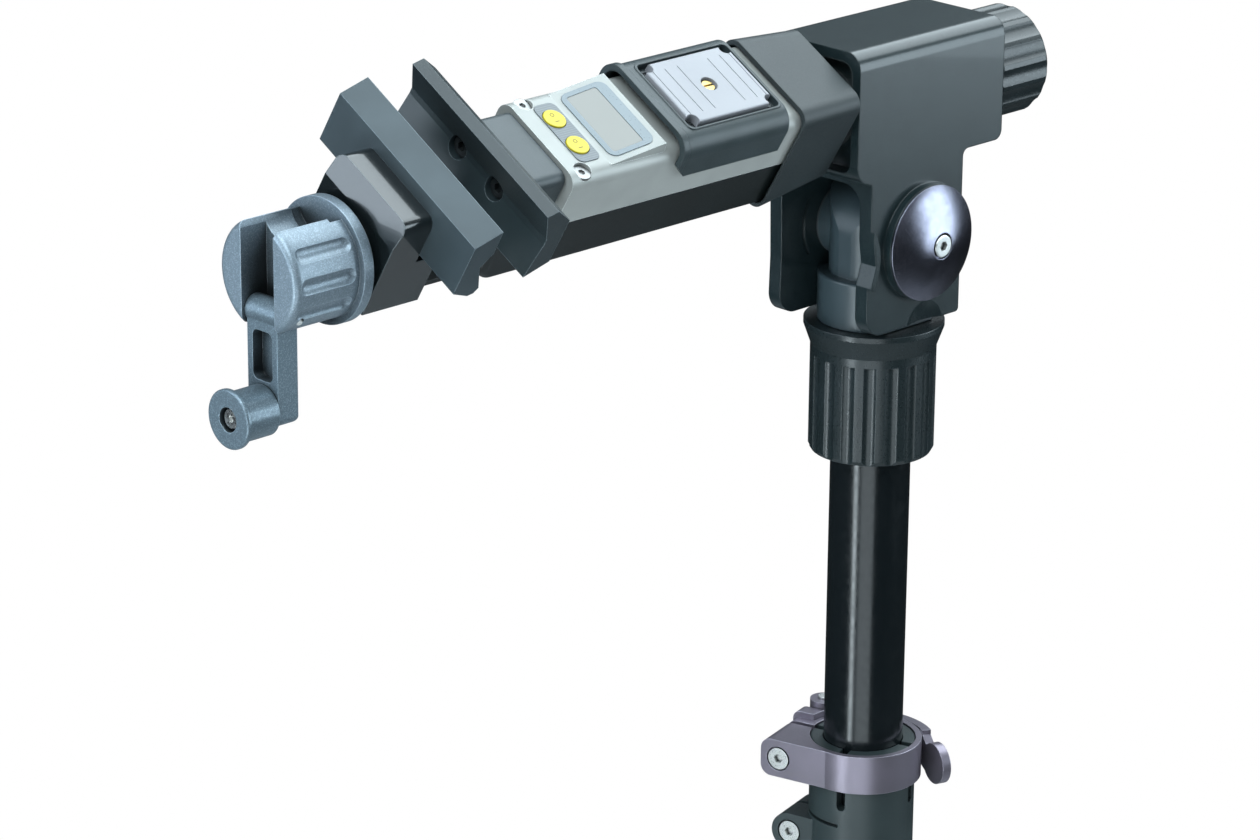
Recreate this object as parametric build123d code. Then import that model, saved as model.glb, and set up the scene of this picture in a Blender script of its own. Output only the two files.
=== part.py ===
from build123d import *
import math
import os

# Bicycle repair stand: a tripod post, a sliding mast, a tilting head and a screw clamp on a rolling arm.
# Millimetres. The origin is the centre of the post's foot on the floor, +Z is up,
# and the clamp arm points along -X.

# Fits
fit = 0.05            # radial clearance of pieces that stay put
running = 0.08        # radial clearance of shafts and pins that turn
slide_gap = 0.3       # clearance of parts that slide past each other
cut_over = 1.0        # how far a cut runs past the face it opens

# Post and mast
post_r = 22.25
post_wall = 2.25
post_foot_r = 29.0
post_foot_height = 34.0
post_foot_floor = 8.0
post_foot_lip = 3.0
mast_r = 19.0
mast_wall = 1.8
mast_bottom = 372.0
bushing_height = 40.0
bushing_lip = 1.6

# Top sleeve with its slots and pinch ear
sleeve_r = 25.4
sleeve_bottom = 710.0
sleeve_step = 759.0
sleeve_top = 791.0
sleeve_rim_round = 1.2
sleeve_slot_width = 4.3
sleeve_slot_bottom = 761.3
sleeve_slot_count = 4
sleeve_slot_turn = 4.9
pinch_ear_r = 9.5
pinch_bolt_y = 28.5
pinch_bolt_drop = 49.7
pinch_ear_face = -20.0
pinch_slit_x = -5.0
pinch_slit_width = 3.0
pinch_ear_back = 8.0
pinch_cut_z = 754.0
pinch_cut_height = 1.8
pinch_cut_reach = 24.6
pinch_bolt_z = sleeve_top - pinch_bolt_drop

# Quick-release collar, in a frame turned about the mast
collar_turn = 14.5
collar_r = 28.4
collar_bore_r = 25.5
collar_height = 19.0
collar_top = 791.5
ear_r = 9.5
ear_round = 5.5
ear_y = 31.0
ear_face = -27.9
ear_slit_x = -5.5
ear_slit_width = 3.5
ear_back = 3.0
saddle_near = 20.0
saddle_far = 40.0
saddle_low = 771.0
saddle_high = 794.5
saddle_round = 4.0
saddle_back = 10.3
cam_pin_x = 18.5
cam_pin_r = 3.2
eye_r = 5.6
eye_rim = 0.5
cam_r = 6.9
cam_below = 12.5
cam_above = 15.5
cam_throw = 0.7
cam_clear = 0.3
lever_inner_r = 30.2
lever_thickness = 4.4
lever_drop = 8.5
lever_height = 17.0
lever_end_angle = -44.0
lever_start_angle = 52.0
paddle_r = 46.0
paddle_angle = -61.0
paddle_bulge_r = 10.0
paddle_drop = 4.5
bolt_r = 3.0
bolt_head_r = 5.4
bolt_head_depth = 4.0
bolt_head_sink_r = 6.2
bolt_socket_r = 2.4
bolt_socket_depth = 2.2
collar_middle = collar_top - collar_height / 2
cam_bottom = collar_middle - cam_below
cam_top = collar_middle + cam_above

# Tripod
hub_r = 33.0
hub_drop = 32.0
hub_height = 62.0
hub_edge = 3.0
leg_count = 3
leg_first_angle = 180.0
leg_pivot_r = 50.0
leg_end_rise = 8.2
clevis_gap = 20.6
clevis_ear = 6.0
clevis_r = 13.0
leg_spread = 40.0
leg_lug_width = 20.0
leg_lug_r = 12.0
leg_lug_length = 46.0
leg_heel_length = 21.0
leg_heel_width = 15.0
leg_heel_gap = 0.35
leg_tube_r = 12.5
leg_tube_wall = 1.8
leg_tube_length = 596.0
leg_socket_depth = 30.0
leg_foot_r = 17.0
leg_foot_length = 46.0
leg_bolt_r = 4.0
leg_bolt_head_r = 6.8
leg_bolt_head_height = 4.0
hub_slit_width = 3.0
hub_ear_reach = 14.0
hub_ear_half = 12.0
hub_ear_r = 9.5
hub_bolt_y = 9.0
hub_ear_angle = 60.0
leg_pivot_z = leg_end_rise + (leg_lug_length + leg_tube_length) * math.cos(math.radians(leg_spread))
hub_bottom = leg_pivot_z - hub_drop

# Neck and lock ring
pivot_z = 1046.8
neck_r = 21.4
neck_flat = 21.3
neck_boss_r = 17.0
neck_collar_r = 26.8
neck_collar_flat = 21.8
neck_collar_bottom = 1003.4
neck_collar_height = 23.0
neck_collar_edge = 1.2
neck_plug_bottom = 960.0
pad_thickness = 0.8
lock_lip_r = 33.0
lock_lip_height = 2.6
lock_waist_r = 29.6
lock_bowl_height = 12.0
lock_bottom = 939.0
lock_end_r = 28.4
lock_end_height = 2.0
lock_flute_count = 18
lock_flute_r = 4.6
lock_flute_depth = 1.3
lock_flute_top = 987.0

# Head
head_half_y = 29.5
head_front = -46.0
head_rear = 52.0
arm_axis_z = 1112.0
barrel_half_z = 31.0
barrel_round = 8.0
barrel_nose_round = 9.0
cheek_inner = 22.2
cheek_front = -37.6
cheek_rear = 25.5
cheek_bottom = 1007.4
cheek_top_x = -36.0
cheek_shoulder_z = 1053.0
cheek_waist_x = -34.5
cheek_waist_z = 1042.0
cheek_knee_z = 1032.0
cheek_front_round = 10.0
cheek_rear_round = 2.0
cheek_top_round = 2.0
far_cheek_front = -41.0
far_cheek_waist = 1.0
far_cheek_waist_z = 1035.0
overhang_z = 1085.5
overhang_round = 4.5
hollow_round = 3.5
slot_top = 1077.9
slot_round = 10.0
head_recess_half_y = 24.5
head_recess_half_z = 26.0
head_recess_round = 6.0
head_recess_depth = 9.0
head_bore_r = 19.5
dome_seat_r = 27.4
dome_seat_height = 4.2
dome_r = 27.2
dome_rise = 7.0
dome_edge = 1.0
dome_sink_r = 6.2
dome_sink_depth = 3.4
pivot_bolt_r = 5.0
pivot_head_r = 5.3
pivot_head_height = 3.6
pivot_head_crown = 0.6
pivot_nut_r = 11.0
pivot_nut_height = 9.0
hex_side_count = 6
crescent_x = -31.5
crescent_z = 1044.8
crescent_r = 23.3
crescent_half = 13.7
crescent_rise = 2.2
arc_r = 25.7
arc_width = 1.6
arc_depth = 0.8
arc_half = 13.5
scallop_x = 2.0
scallop_drop = 2.5
scallop_r = 30.0
scallop_depth = 2.6

# Arm shaft, bushes and rear knob
shaft_r = 14.0
shaft_flange_r = 22.0
shaft_flange_thick = 5.0
shaft_shoulder_x = 51.6
bush_length = 25.0
bush_rear_gap = 0.2
stud_r = 10.0
stud_end = 78.0
knob_r = 26.0
knob_front = 52.3
knob_rear = 89.0
knob_hub_r = 21.0
knob_hub_length = 3.0
knob_edge = 2.6
knob_flute_count = 16
knob_flute_r = 8.8
knob_flute_depth = 1.2
knob_bore_end = 81.0

# Arm, drawn level in its own frame: X along the arm, Y across it, Z up from the arm's axis.
arm_roll = 30.87
bracket_front = -91.0
bracket_rear = -52.5
bracket_half = 28.5
bracket_low = -26.6
bracket_high = 31.8
bracket_rear_half = 26.6
bracket_rear_low = -19.6
bracket_rear_high = 30.4
bracket_round = 7.0
bracket_pocket_depth = 11.0
bracket_pocket_gap = 0.9
beam_half = 25.5
beam_low = -24.0
beam_high = 2.0
beam_front = -262.0
beam_wall = 4.0
beam_floor = 2.6
beam_edge = 3.0
beam_nose_round = 8.0
house_half = 26.3
house_front = -229.6
house_high = 28.5
house_wall = 2.2
house_roof = 3.0
house_round = 6.5
wedge_front = -206.0
wedge_rear = -175.6
wedge_rise = 4.8
wedge_half = 22.6
wedge_base = 1.5
house_screw_x = -221.8
house_screw_y = 21.2
house_screw_r = 4.2
house_screw_sink = 2.7
house_screw_top = 1.5
panel_front = -220.4
panel_rear = -207.8
panel_half = 17.8
panel_round = 3.4
panel_thick = 0.9
panel_sunk = 0.5
button_x = -214.6
button_y = 8.3
button_r = 5.3
button_gap = 0.25
button_rise = 0.7
button_stem_r = 2.6
button_stem_length = 3.0
button_travel = 0.4
bezel_front = -203.6
bezel_rear = -178.8
bezel_half = 19.7
bezel_round = 4.4
bezel_thick = 1.2
bezel_sunk = 0.8
window_front = -200.8
window_rear = -184.2
window_half = 17.2
window_round = 1.4
window_thick = 1.0
board_thick = 1.6
board_rear = -176.0
board_half = 22.0
board_front_gap = 2.0
board_drop = 9.3
board_post_r = 2.2
cover_front = -168.4
cover_rear = -102.2
cover_half = 28.7
cover_high = 35.5
cover_low = 15.3
cover_wall = 2.0
cover_round = 9.5
cell_gap = 0.35
cover_lip = 0.7
cover_lip_length = 3.6
cover_slant = 7.0
lid_front = -158.0
lid_rear = -106.0
lid_half = 18.6
lid_round = 2.2
lid_thick = 3.0
lid_high = 37.0
lid_notch = 4.9
lid_line_shares = [0.057, 0.197, 0.343, 0.704, 0.85, 0.96]
lid_line_width = 0.5
lid_line_depth = 0.3
well_gap = 1.8
well_rim_width = 0.9
well_rim_rise = 0.4
well_depth = 3.2
well_round = 3.0
lid_screw_inset = 1.9
lid_screw_r = 1.7
lid_screw_height = 1.3
lock_screw_r = 3.1
lock_screw_length = 4.4
lock_screw_sunk = 1.1
lock_hole_r = 4.0
battery_length = 47.0
battery_width = 26.0
battery_height = 16.0
battery_low = 11.0
battery_tray_thick = 1.6
cell_rear = -172.0
cell_half = 7.0
cell_low = 5.0
cell_high = 17.0
cell_foot_length = 16.0
cell_foot_half = 23.6
block_front = -253.7
block_rear = -230.6
block_half = 21.8
block_low = 3.2
block_high = 27.0
block_round = 4.5
jaw_half = 48.0
rear_jaw_groove = -262.6
rear_jaw_depth = 15.4
rear_jaw_low = 2.6
rear_jaw_height = 37.7
rear_jaw_shares = [(1, 0.95), (0.64, 1), (0, 0.8), (0, 0.16), (0.79, 0), (0.578, 0.47), (0.578, 0.55)]
jaw_bolt_y = 13.0
jaw_bolt_z = 20.6
jaw_sink_r = 5.4
jaw_sink_depth = 5.8
jaw_bolt_r = 2.6
jaw_bolt_head_r = 4.6
jaw_bolt_head_height = 3.8
jaw_bolt_end = -240.0

# Jaw carriage, spindle and nut, in the arm's frame
front_jaw_back = -306.2
front_jaw_depth = 14.3
front_jaw_low = 0.8
front_jaw_height = 36.0
front_jaw_shares = [(0, 0.83), (0.9, 1), (0.93, 0.66), (0.61, 0.46), (1, 0.095), (0.88, 0.02), (0.66, 0),
                    (0, 0.105)]
carrier_front = -324.5
carrier_rear = -293.4
carrier_half = 24.0
carrier_low = -25.6
carrier_high = 24.3
carrier_ledge = 0.4
carrier_chamfer_z = 12.1
carrier_chamfer_x = 3.5
carrier_round = 5.0
carrier_boss_r = 22.0
carrier_boss_length = 4.2
spindle_z = -13.5
spindle_r = 4.5
spindle_front = -346.0
spindle_rear = -205.0
runner_half = 21.2
runner_low = -21.2
runner_high = -18.4
runner_front = -318.0
runner_rear = -202.0
nut_front = -259.0
nut_rear = -243.0
nut_low = -18.1
nut_high = -5.0

# Crank, in the upright frame about the spindle's axis
flange_r = 27.4
flange_rear = -329.0
flange_front = -334.0
grip_r = 24.4
grip_front = -368.5
grip_round = 3.2
slot_half = 10.3
slot_floor = -354.5
scoop_small_r = 11.7
scoop_large_r = 13.7
scoop_step = -340.2
pill_angle = 31.0
pill_front = -366.6
pill_rear = -335.2
pill_r = 4.6
pill_depth = 1.8
hinge_x = -361.0
hinge_drop = 16.5
hinge_pin_r = 1.6
hinge_pin_half = 17.4
crank_half = 9.4
crank_eye_half = 10.0
crank_front = -366.4
crank_rear = -355.6
crank_length = 47.0
crank_eye_r = 6.2
crank_corner = 3.2
crank_pocket_half = 6.2
crank_pocket_depth = 5.4
crank_pocket_top = 7.0
crank_pocket_bottom = 28.5
crank_pocket_round = 3.0
handle_drop = 41.0
handle_r = 11.0
handle_flange_r = 12.9
handle_flange_length = 2.8
handle_rear = -366.8
handle_front = -385.6
handle_groove = 0.9
handle_sink_r = 5.4
handle_sink_depth = 4.6
handle_screw_r = 2.5
handle_screw_head_r = 4.1
handle_screw_head_height = 2.9
handle_screw_end = -357.4


def box(x0, x1, y0, y1, z0, z1):
    """Block between two opposite corners."""
    centre = Pos((x0 + x1) / 2, (y0 + y1) / 2, (z0 + z1) / 2)
    return centre * Box(abs(x1 - x0), abs(y1 - y0), abs(z1 - z0))


def rod_x(radius, x0, x1, y=0, z=0):
    """Cylinder along X."""
    return Pos((x0 + x1) / 2, y, z) * Rot(0, 90, 0) * Cylinder(radius, abs(x1 - x0))


def rod_y(radius, y0, y1, x=0, z=0):
    """Cylinder along Y."""
    return Pos(x, (y0 + y1) / 2, z) * Rot(90, 0, 0) * Cylinder(radius, abs(y1 - y0))


def rod_z(radius, z0, z1, x=0, y=0):
    """Cylinder along Z."""
    return Pos(x, y, (z0 + z1) / 2) * Cylinder(radius, abs(z1 - z0))


def side_plate(points, y0, y1):
    """Outline in X and Z, given thickness along Y."""
    plane = Plane(origin=(0, y1, 0), x_dir=(1, 0, 0), z_dir=(0, -1, 0))
    return extrude(plane * make_face(Polyline(*points, close=True)), amount=y1 - y0)


def placed(shares, x, depth, z, height):
    """Outline points from shares of a depth and a height."""
    return [(x + across * depth, z + up * height) for across, up in shares]


def section(x, y0, y1, z0, z1, radius):
    """Rounded rectangle across X."""
    plane = Plane(origin=(x, (y0 + y1) / 2, (z0 + z1) / 2), x_dir=(0, 1, 0), z_dir=(1, 0, 0))
    return plane * RectangleRounded(y1 - y0, z1 - z0, radius)


def bar_x(x0, x1, y0, y1, z0, z1, radius):
    """Bar along X with four rounded long edges."""
    return extrude(section(x0, y0, y1, z0, z1, radius), amount=x1 - x0)


def plate_z(x0, x1, y0, y1, z0, z1, radius):
    """Plate with four rounded upright corners."""
    flat = Pos((x0 + x1) / 2, (y0 + y1) / 2, z0) * RectangleRounded(abs(x1 - x0), abs(y1 - y0), radius)
    return extrude(flat, amount=z1 - z0)


def turned(points):
    """Solid of revolution about Z from an outline in radius and height."""
    return revolve(Plane.XZ * make_face(Polyline(*points, close=True)), Axis.Z)


def socket_bolt(face, shank_end, y, z, shank_r=bolt_r, head_r=bolt_head_r, head=bolt_head_depth,
                socket=bolt_socket_r, deep=bolt_socket_depth):
    """Socket-head bolt along X: the head starts at the face and the shank runs to its end."""
    inward = 1 if shank_end > face else -1
    bolt = rod_x(head_r, face, face + inward * head, y, z)
    bolt += rod_x(shank_r, face + inward * head, shank_end, y, z)
    hexagon = Plane(origin=(face, y, z), x_dir=(0, 1, 0), z_dir=(inward, 0, 0)) * RegularPolygon(socket, 6)
    return bolt - extrude(hexagon, amount=deep)


def level(shape):
    """Moves a piece from the arm's own frame to its place on the stand."""
    return Pos(0, 0, arm_axis_z) * Rot(arm_roll, 0, 0) * shape


def collar_frame(shape):
    """Turns a piece of the collar about the mast."""
    return Rot(0, 0, collar_turn) * shape


# Post and mast

def make_post():
    bore = rod_z(post_r - post_wall, 0, sleeve_step + cut_over)
    return rod_z(post_r, post_foot_floor, sleeve_step) - bore


def make_post_foot():
    foot = rod_z(post_foot_r, 0, post_foot_height)
    foot = fillet(foot.edges().group_by(Axis.Z)[-1], post_foot_lip)
    return foot - rod_z(post_r + fit, post_foot_floor, post_foot_height + cut_over)


def make_mast():
    return rod_z(mast_r, mast_bottom, neck_collar_bottom) - rod_z(
        mast_r - mast_wall, mast_bottom - cut_over, neck_collar_bottom + cut_over)


def make_bushing():
    """Plastic guide on the mast's lower end, running in the post."""
    bush_r = post_r - post_wall - slide_gap
    bush = rod_z(bush_r, mast_bottom - bushing_lip, mast_bottom)
    bush += rod_z(bush_r, mast_bottom, mast_bottom + bushing_height) - rod_z(
        mast_r + fit, mast_bottom, mast_bottom + bushing_height + cut_over)
    return bush - rod_z(mast_r - mast_wall, mast_bottom - bushing_lip - cut_over, mast_bottom + cut_over)


def ear_profile(radius, centre_y, centre_z, x0, x1):
    """Round-ended ear that reaches from the mast's side to its bolt."""
    ear = rod_x(radius, x0, x1, centre_y, centre_z)
    return ear + box(x0, x1, 0, centre_y, centre_z - radius, centre_z + radius)


def make_sleeve():
    sleeve = rod_z(sleeve_r, sleeve_bottom, sleeve_top)
    sleeve = fillet(sleeve.edges().filter_by(GeomType.CIRCLE), sleeve_rim_round)
    ear = ear_profile(pinch_ear_r, pinch_bolt_y, pinch_bolt_z, pinch_ear_face, pinch_ear_back)
    sleeve += ear
    sleeve -= rod_z(post_r + fit, sleeve_bottom - cut_over, sleeve_step)
    sleeve -= rod_z(mast_r + slide_gap, sleeve_step, sleeve_top + cut_over)
    sleeve -= box(pinch_slit_x, pinch_slit_x + pinch_slit_width, 0, pinch_bolt_y + pinch_ear_r + cut_over,
                  sleeve_bottom - cut_over, pinch_cut_z)
    sleeve -= box(-sleeve_r - cut_over, sleeve_r + cut_over, pinch_cut_reach - sleeve_r, sleeve_r + cut_over,
                  pinch_cut_z - pinch_cut_height, pinch_cut_z)
    sleeve -= rod_x(bolt_r + fit, pinch_ear_face - cut_over, pinch_ear_back + cut_over,
                    pinch_bolt_y, pinch_bolt_z)
    sleeve -= rod_x(bolt_head_sink_r, pinch_ear_face - cut_over, pinch_ear_face + bolt_head_depth,
                    pinch_bolt_y, pinch_bolt_z)
    for index in range(sleeve_slot_count):
        turn = Rot(0, 0, sleeve_slot_turn + index * 360 / sleeve_slot_count)
        half = sleeve_slot_width / 2
        slot = box(0, sleeve_r + cut_over, -half, half, sleeve_slot_bottom + half, sleeve_top + cut_over)
        slot += rod_x(half, 0, sleeve_r + cut_over, 0, sleeve_slot_bottom + half)
        sleeve -= turn * slot
    return collar_frame(sleeve)


def make_pinch_bolts():
    """Bolts of the sleeve's ear and of the tripod hub."""
    upper = socket_bolt(pinch_ear_face, pinch_ear_back, pinch_bolt_y, pinch_bolt_z)
    return Compound(children=[collar_frame(upper), hub_frame(hub_bolt())])


def make_collar():
    bottom = collar_top - collar_height
    middle = collar_middle
    ring = rod_z(collar_r, bottom, collar_top)
    ear = box(ear_face, ear_back, 0, ear_y + ear_r, middle - ear_r, middle + ear_r)
    ring += fillet(ear.edges().filter_by(Axis.X).group_by(Axis.Y)[-1], ear_round)
    ring -= rod_z(collar_bore_r, bottom - cut_over, collar_top + cut_over)
    ring -= box(ear_slit_x, ear_slit_x + ear_slit_width, 0, ear_y + ear_r + cut_over,
                bottom - cut_over, collar_top + cut_over)
    ring -= rod_x(bolt_r + fit, ear_face - cut_over, ear_back + cut_over, ear_y, middle)
    ring -= rod_x(bolt_head_sink_r, ear_face - cut_over, ear_face + bolt_head_depth, ear_y, middle)
    return collar_frame(ring)


def make_clamp_bolt():
    """Draws the ears together: its eye sits on the cam pin."""
    middle = collar_middle
    bolt = socket_bolt(ear_face, cam_pin_x, ear_y, middle)
    half = bolt_r + eye_rim
    bolt += rod_z(eye_r, middle - half, middle + half, cam_pin_x, ear_y)
    bolt -= rod_z(cam_pin_r + fit, middle - half - cut_over, middle + half + cut_over, cam_pin_x, ear_y)
    return collar_frame(bolt)


def make_cam_saddle():
    """Block between the ear and the cam."""
    middle = collar_middle
    block = bar_x(ear_back, saddle_back, saddle_near, saddle_far, saddle_low, saddle_high, saddle_round)
    block -= rod_x(bolt_r + fit, ear_back - cut_over, saddle_back + cut_over, ear_y, middle)
    keep_out = rod_z(collar_r + cam_clear, saddle_low - cut_over, saddle_high + cut_over)
    return collar_frame(block - keep_out)


def make_cam_pin():
    return collar_frame(rod_z(cam_pin_r, cam_bottom - lever_thickness / 4, cam_top + lever_thickness / 4,
                              cam_pin_x, ear_y))


def make_lever():
    """Cam barrel on its pin, a band round the collar and a thumb paddle."""
    middle = collar_middle
    barrel = rod_z(cam_r, cam_bottom, cam_top, cam_pin_x - cam_throw, ear_y)
    barrel -= rod_z(cam_pin_r + running, cam_bottom - cut_over, cam_top + cut_over, cam_pin_x, ear_y)
    lever_bottom = middle - lever_drop
    top = lever_bottom + lever_height
    outer_r = lever_inner_r + lever_thickness
    band = rod_z(outer_r, lever_bottom, top) - rod_z(lever_inner_r, lever_bottom - cut_over, top + cut_over)
    sweep = [(0, 0)]
    reach = outer_r * 2
    steps = 6
    for step in range(steps + 1):
        angle = math.radians(lever_end_angle + (lever_start_angle - lever_end_angle) * step / steps)
        sweep.append((reach * math.cos(angle), reach * math.sin(angle)))
    wedge = extrude(Pos(0, 0, lever_bottom) * make_face(Polyline(*sweep, close=True)), amount=lever_height)
    band = band & wedge
    start = math.radians(lever_start_angle)
    mean_r = lever_inner_r + lever_thickness / 2
    ax, ay = mean_r * math.cos(start), mean_r * math.sin(start)
    span = math.hypot(cam_pin_x - ax, ear_y - ay)
    heading = math.degrees(math.atan2(ear_y - ay, cam_pin_x - ax))
    bridge = Pos(ax, ay, lever_bottom) * Rot(0, 0, heading) * box(
        -lever_thickness / 2, span, -lever_thickness / 2, lever_thickness / 2, 0, lever_height)
    bridge -= rod_z(cam_pin_r + running, cam_bottom, cam_top, cam_pin_x, ear_y)
    end = math.radians(lever_end_angle)
    bx, by = mean_r * math.cos(end), mean_r * math.sin(end)
    tip = math.radians(paddle_angle)
    tx, ty = (paddle_r - paddle_bulge_r) * math.cos(tip), (paddle_r - paddle_bulge_r) * math.sin(tip)
    blade_span = math.hypot(tx - bx, ty - by)
    blade_heading = math.degrees(math.atan2(ty - by, tx - bx))
    half = lever_thickness / 2
    paddle_z = lever_height / 2 - paddle_drop
    blade = side_plate([(-half, 0), (-half, lever_height), (blade_span / 3, lever_height * 2 / 3),
                        (blade_span, paddle_z + paddle_bulge_r), (blade_span, paddle_z - paddle_bulge_r)],
                       -half, half)
    blade += rod_y(paddle_bulge_r, -half, half, blade_span, paddle_z)
    blade = Pos(bx, by, lever_bottom) * Rot(0, 0, blade_heading) * blade
    lever = barrel + band + bridge + blade
    room = bolt_r + eye_rim + slide_gap
    lever -= rod_z(cam_r + cam_throw + slide_gap, middle - room, middle + room, cam_pin_x, ear_y)
    return collar_frame(lever)


# Tripod

def leg_frame(index, shape):
    """Turns a leg's piece from the XZ plane to its own side of the post."""
    return Rot(0, 0, leg_first_angle + index * 360 / leg_count) * shape


def hub_frame(shape):
    """Turns the hub's pinch ears between two legs."""
    return Rot(0, 0, leg_first_angle + hub_ear_angle) * shape


def hub_bolt():
    middle = hub_bottom + hub_height / 2
    bolt = socket_bolt(-hub_ear_half, hub_ear_half, hub_r + hub_bolt_y, middle)
    return Rot(0, 0, -90) * bolt


def make_hub():
    hub = rod_z(hub_r, hub_bottom, hub_bottom + hub_height)
    hub = chamfer(hub.edges().filter_by(GeomType.CIRCLE), hub_edge)
    half_gap = clevis_gap / 2
    for index in range(leg_count):
        for side in (-1, 1):
            y0 = side * half_gap
            y1 = side * (half_gap + clevis_ear)
            ear = rod_y(clevis_r, y0, y1, leg_pivot_r, leg_pivot_z)
            ear += box(hub_r / 2, leg_pivot_r, y0, y1, leg_pivot_z - clevis_r, leg_pivot_z + clevis_r)
            hub += leg_frame(index, ear)
    middle = hub_bottom + hub_height / 2
    ears = rod_y(hub_ear_r, -hub_ear_half, hub_ear_half, hub_r + hub_bolt_y, middle)
    ears += box(hub_r / 2, hub_r + hub_bolt_y, -hub_ear_half, hub_ear_half,
                middle - hub_ear_r, middle + hub_ear_r)
    hub += hub_frame(ears)
    hub -= rod_z(post_r + fit, hub_bottom - cut_over, hub_bottom + hub_height + cut_over)
    hub -= hub_frame(box(0, hub_r + hub_ear_reach + hub_ear_r, -hub_slit_width / 2, hub_slit_width / 2,
                         hub_bottom - cut_over, hub_bottom + hub_height + cut_over))
    hole = rod_y(bolt_r + fit, -hub_ear_half - cut_over, hub_ear_half + cut_over, hub_r + hub_bolt_y, middle)
    sink = rod_y(bolt_head_sink_r, hub_ear_half - bolt_head_depth, hub_ear_half + cut_over,
                 hub_r + hub_bolt_y, middle)
    hub -= hub_frame(hole + sink)
    for index in range(leg_count):
        flat = box(hub_r - leg_heel_gap, hub_r + cut_over, -half_gap, half_gap,
                   leg_pivot_z - clevis_r, hub_bottom + hub_height + cut_over)
        bore = rod_y(leg_bolt_r + fit, -half_gap - clevis_ear - cut_over, half_gap + clevis_ear + cut_over,
                     leg_pivot_r, leg_pivot_z)
        hub -= leg_frame(index, flat + bore)
    return hub


def make_leg_bolts():
    """Pivot bolts of the three legs."""
    bolts = []
    half = clevis_gap / 2 + clevis_ear
    for index in range(leg_count):
        bolt = rod_y(leg_bolt_r, -half, half, leg_pivot_r, leg_pivot_z)
        bolt += rod_y(leg_bolt_head_r, half, half + leg_bolt_head_height, leg_pivot_r, leg_pivot_z)
        bolt += rod_y(leg_bolt_head_r, -half - leg_bolt_head_height, -half, leg_pivot_r, leg_pivot_z)
        bolts.append(leg_frame(index, bolt))
    return Compound(children=bolts)


def spread(shape):
    """Swings a leg piece, drawn hanging from the pivot, out to its stop."""
    return Pos(leg_pivot_r, 0, leg_pivot_z) * Rot(0, -leg_spread, 0) * shape


def make_leg(index):
    """Leg tube with its cast lug and the heel that stops it."""
    half = leg_lug_width / 2
    lug = rod_y(leg_lug_r, -half, half)
    lug += box(-leg_lug_r, leg_lug_r, -half, half, -leg_lug_length, 0)
    tube_top = -leg_lug_length
    tube = rod_z(leg_tube_r, tube_top - leg_tube_length, tube_top)
    tube -= rod_z(leg_tube_r - leg_tube_wall, tube_top - leg_tube_length - cut_over,
                  tube_top - leg_socket_depth)
    heel = box(-leg_heel_width / 2, leg_heel_width / 2, -half, half, 0, leg_heel_length)
    leg = spread(lug + tube + heel)
    leg -= box(-hub_r, hub_r, -half - cut_over, half + cut_over,
               leg_pivot_z - leg_lug_r, leg_pivot_z + hub_height)
    leg -= rod_y(leg_bolt_r + running, -half - cut_over, half + cut_over, leg_pivot_r, leg_pivot_z)
    return leg_frame(index, leg)


def make_leg_foot(index):
    """Rubber boot on the leg's end, cut flat on the floor."""
    tube_end = -leg_lug_length - leg_tube_length
    boot_top = tube_end + leg_foot_length * 2 / 3
    boot = rod_z(leg_foot_r, boot_top - leg_foot_length * 2, boot_top)
    boot -= rod_z(leg_tube_r + fit, tube_end, boot_top + cut_over)
    boot = spread(boot)
    reach = leg_pivot_r + leg_lug_length + leg_tube_length + leg_foot_length
    floor = box(0, reach, -leg_foot_r - cut_over, leg_foot_r + cut_over, -leg_foot_length * 3, 0)
    return leg_frame(index, boot - floor)


# Neck, lock ring and head

def make_neck():
    neck = box(-neck_r, neck_r, -neck_flat, neck_flat, neck_collar_bottom, pivot_z)
    neck += rod_y(neck_r, -neck_flat, neck_flat, 0, pivot_z)
    neck &= rod_z(neck_r + slide_gap, neck_collar_bottom, pivot_z + neck_r + cut_over)
    neck += rod_y(neck_boss_r, -neck_flat, neck_flat, 0, pivot_z)
    collar = rod_z(neck_collar_r, neck_collar_bottom, neck_collar_bottom + neck_collar_height)
    collar = fillet(collar.edges().group_by(Axis.Z)[-1], neck_collar_edge)
    collar &= box(-neck_collar_r, neck_collar_r, -neck_collar_flat, neck_collar_flat,
                  neck_collar_bottom, pivot_z)
    neck += collar
    neck += rod_z(mast_r - mast_wall - running, neck_plug_bottom, neck_collar_bottom)
    return neck - rod_y(pivot_bolt_r + running, -neck_r - cut_over, neck_r + cut_over, 0, pivot_z)


def make_pads():
    """Friction washers between the neck and the head's cheeks."""
    pads = []
    for side in (-1, 1):
        start = side * (neck_flat + fit)
        pad = rod_y(neck_boss_r, start, start + side * pad_thickness, 0, pivot_z)
        pad -= rod_y(pivot_bolt_r + running, -neck_r - cut_over, neck_r + cut_over, 0, pivot_z)
        pads.append(pad)
    return Compound(children=pads)


def make_lock_ring():
    top = neck_collar_bottom - slide_gap
    waist = top - lock_bowl_height
    lip = top - lock_lip_height
    outline = [(mast_r + slide_gap, lock_bottom), (lock_end_r, lock_bottom),
               (lock_waist_r, lock_bottom + lock_end_height), (lock_waist_r, waist), (lock_lip_r, lip),
               (lock_lip_r, top), (mast_r + slide_gap, top)]
    ring = turned(outline)
    for index in range(lock_flute_count):
        turn = Rot(0, 0, index * 360 / lock_flute_count)
        centre = lock_waist_r + lock_flute_r - lock_flute_depth
        flute = rod_z(lock_flute_r, lock_bottom - cut_over, lock_flute_top, centre, 0)
        ring -= turn * flute
    return ring


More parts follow.
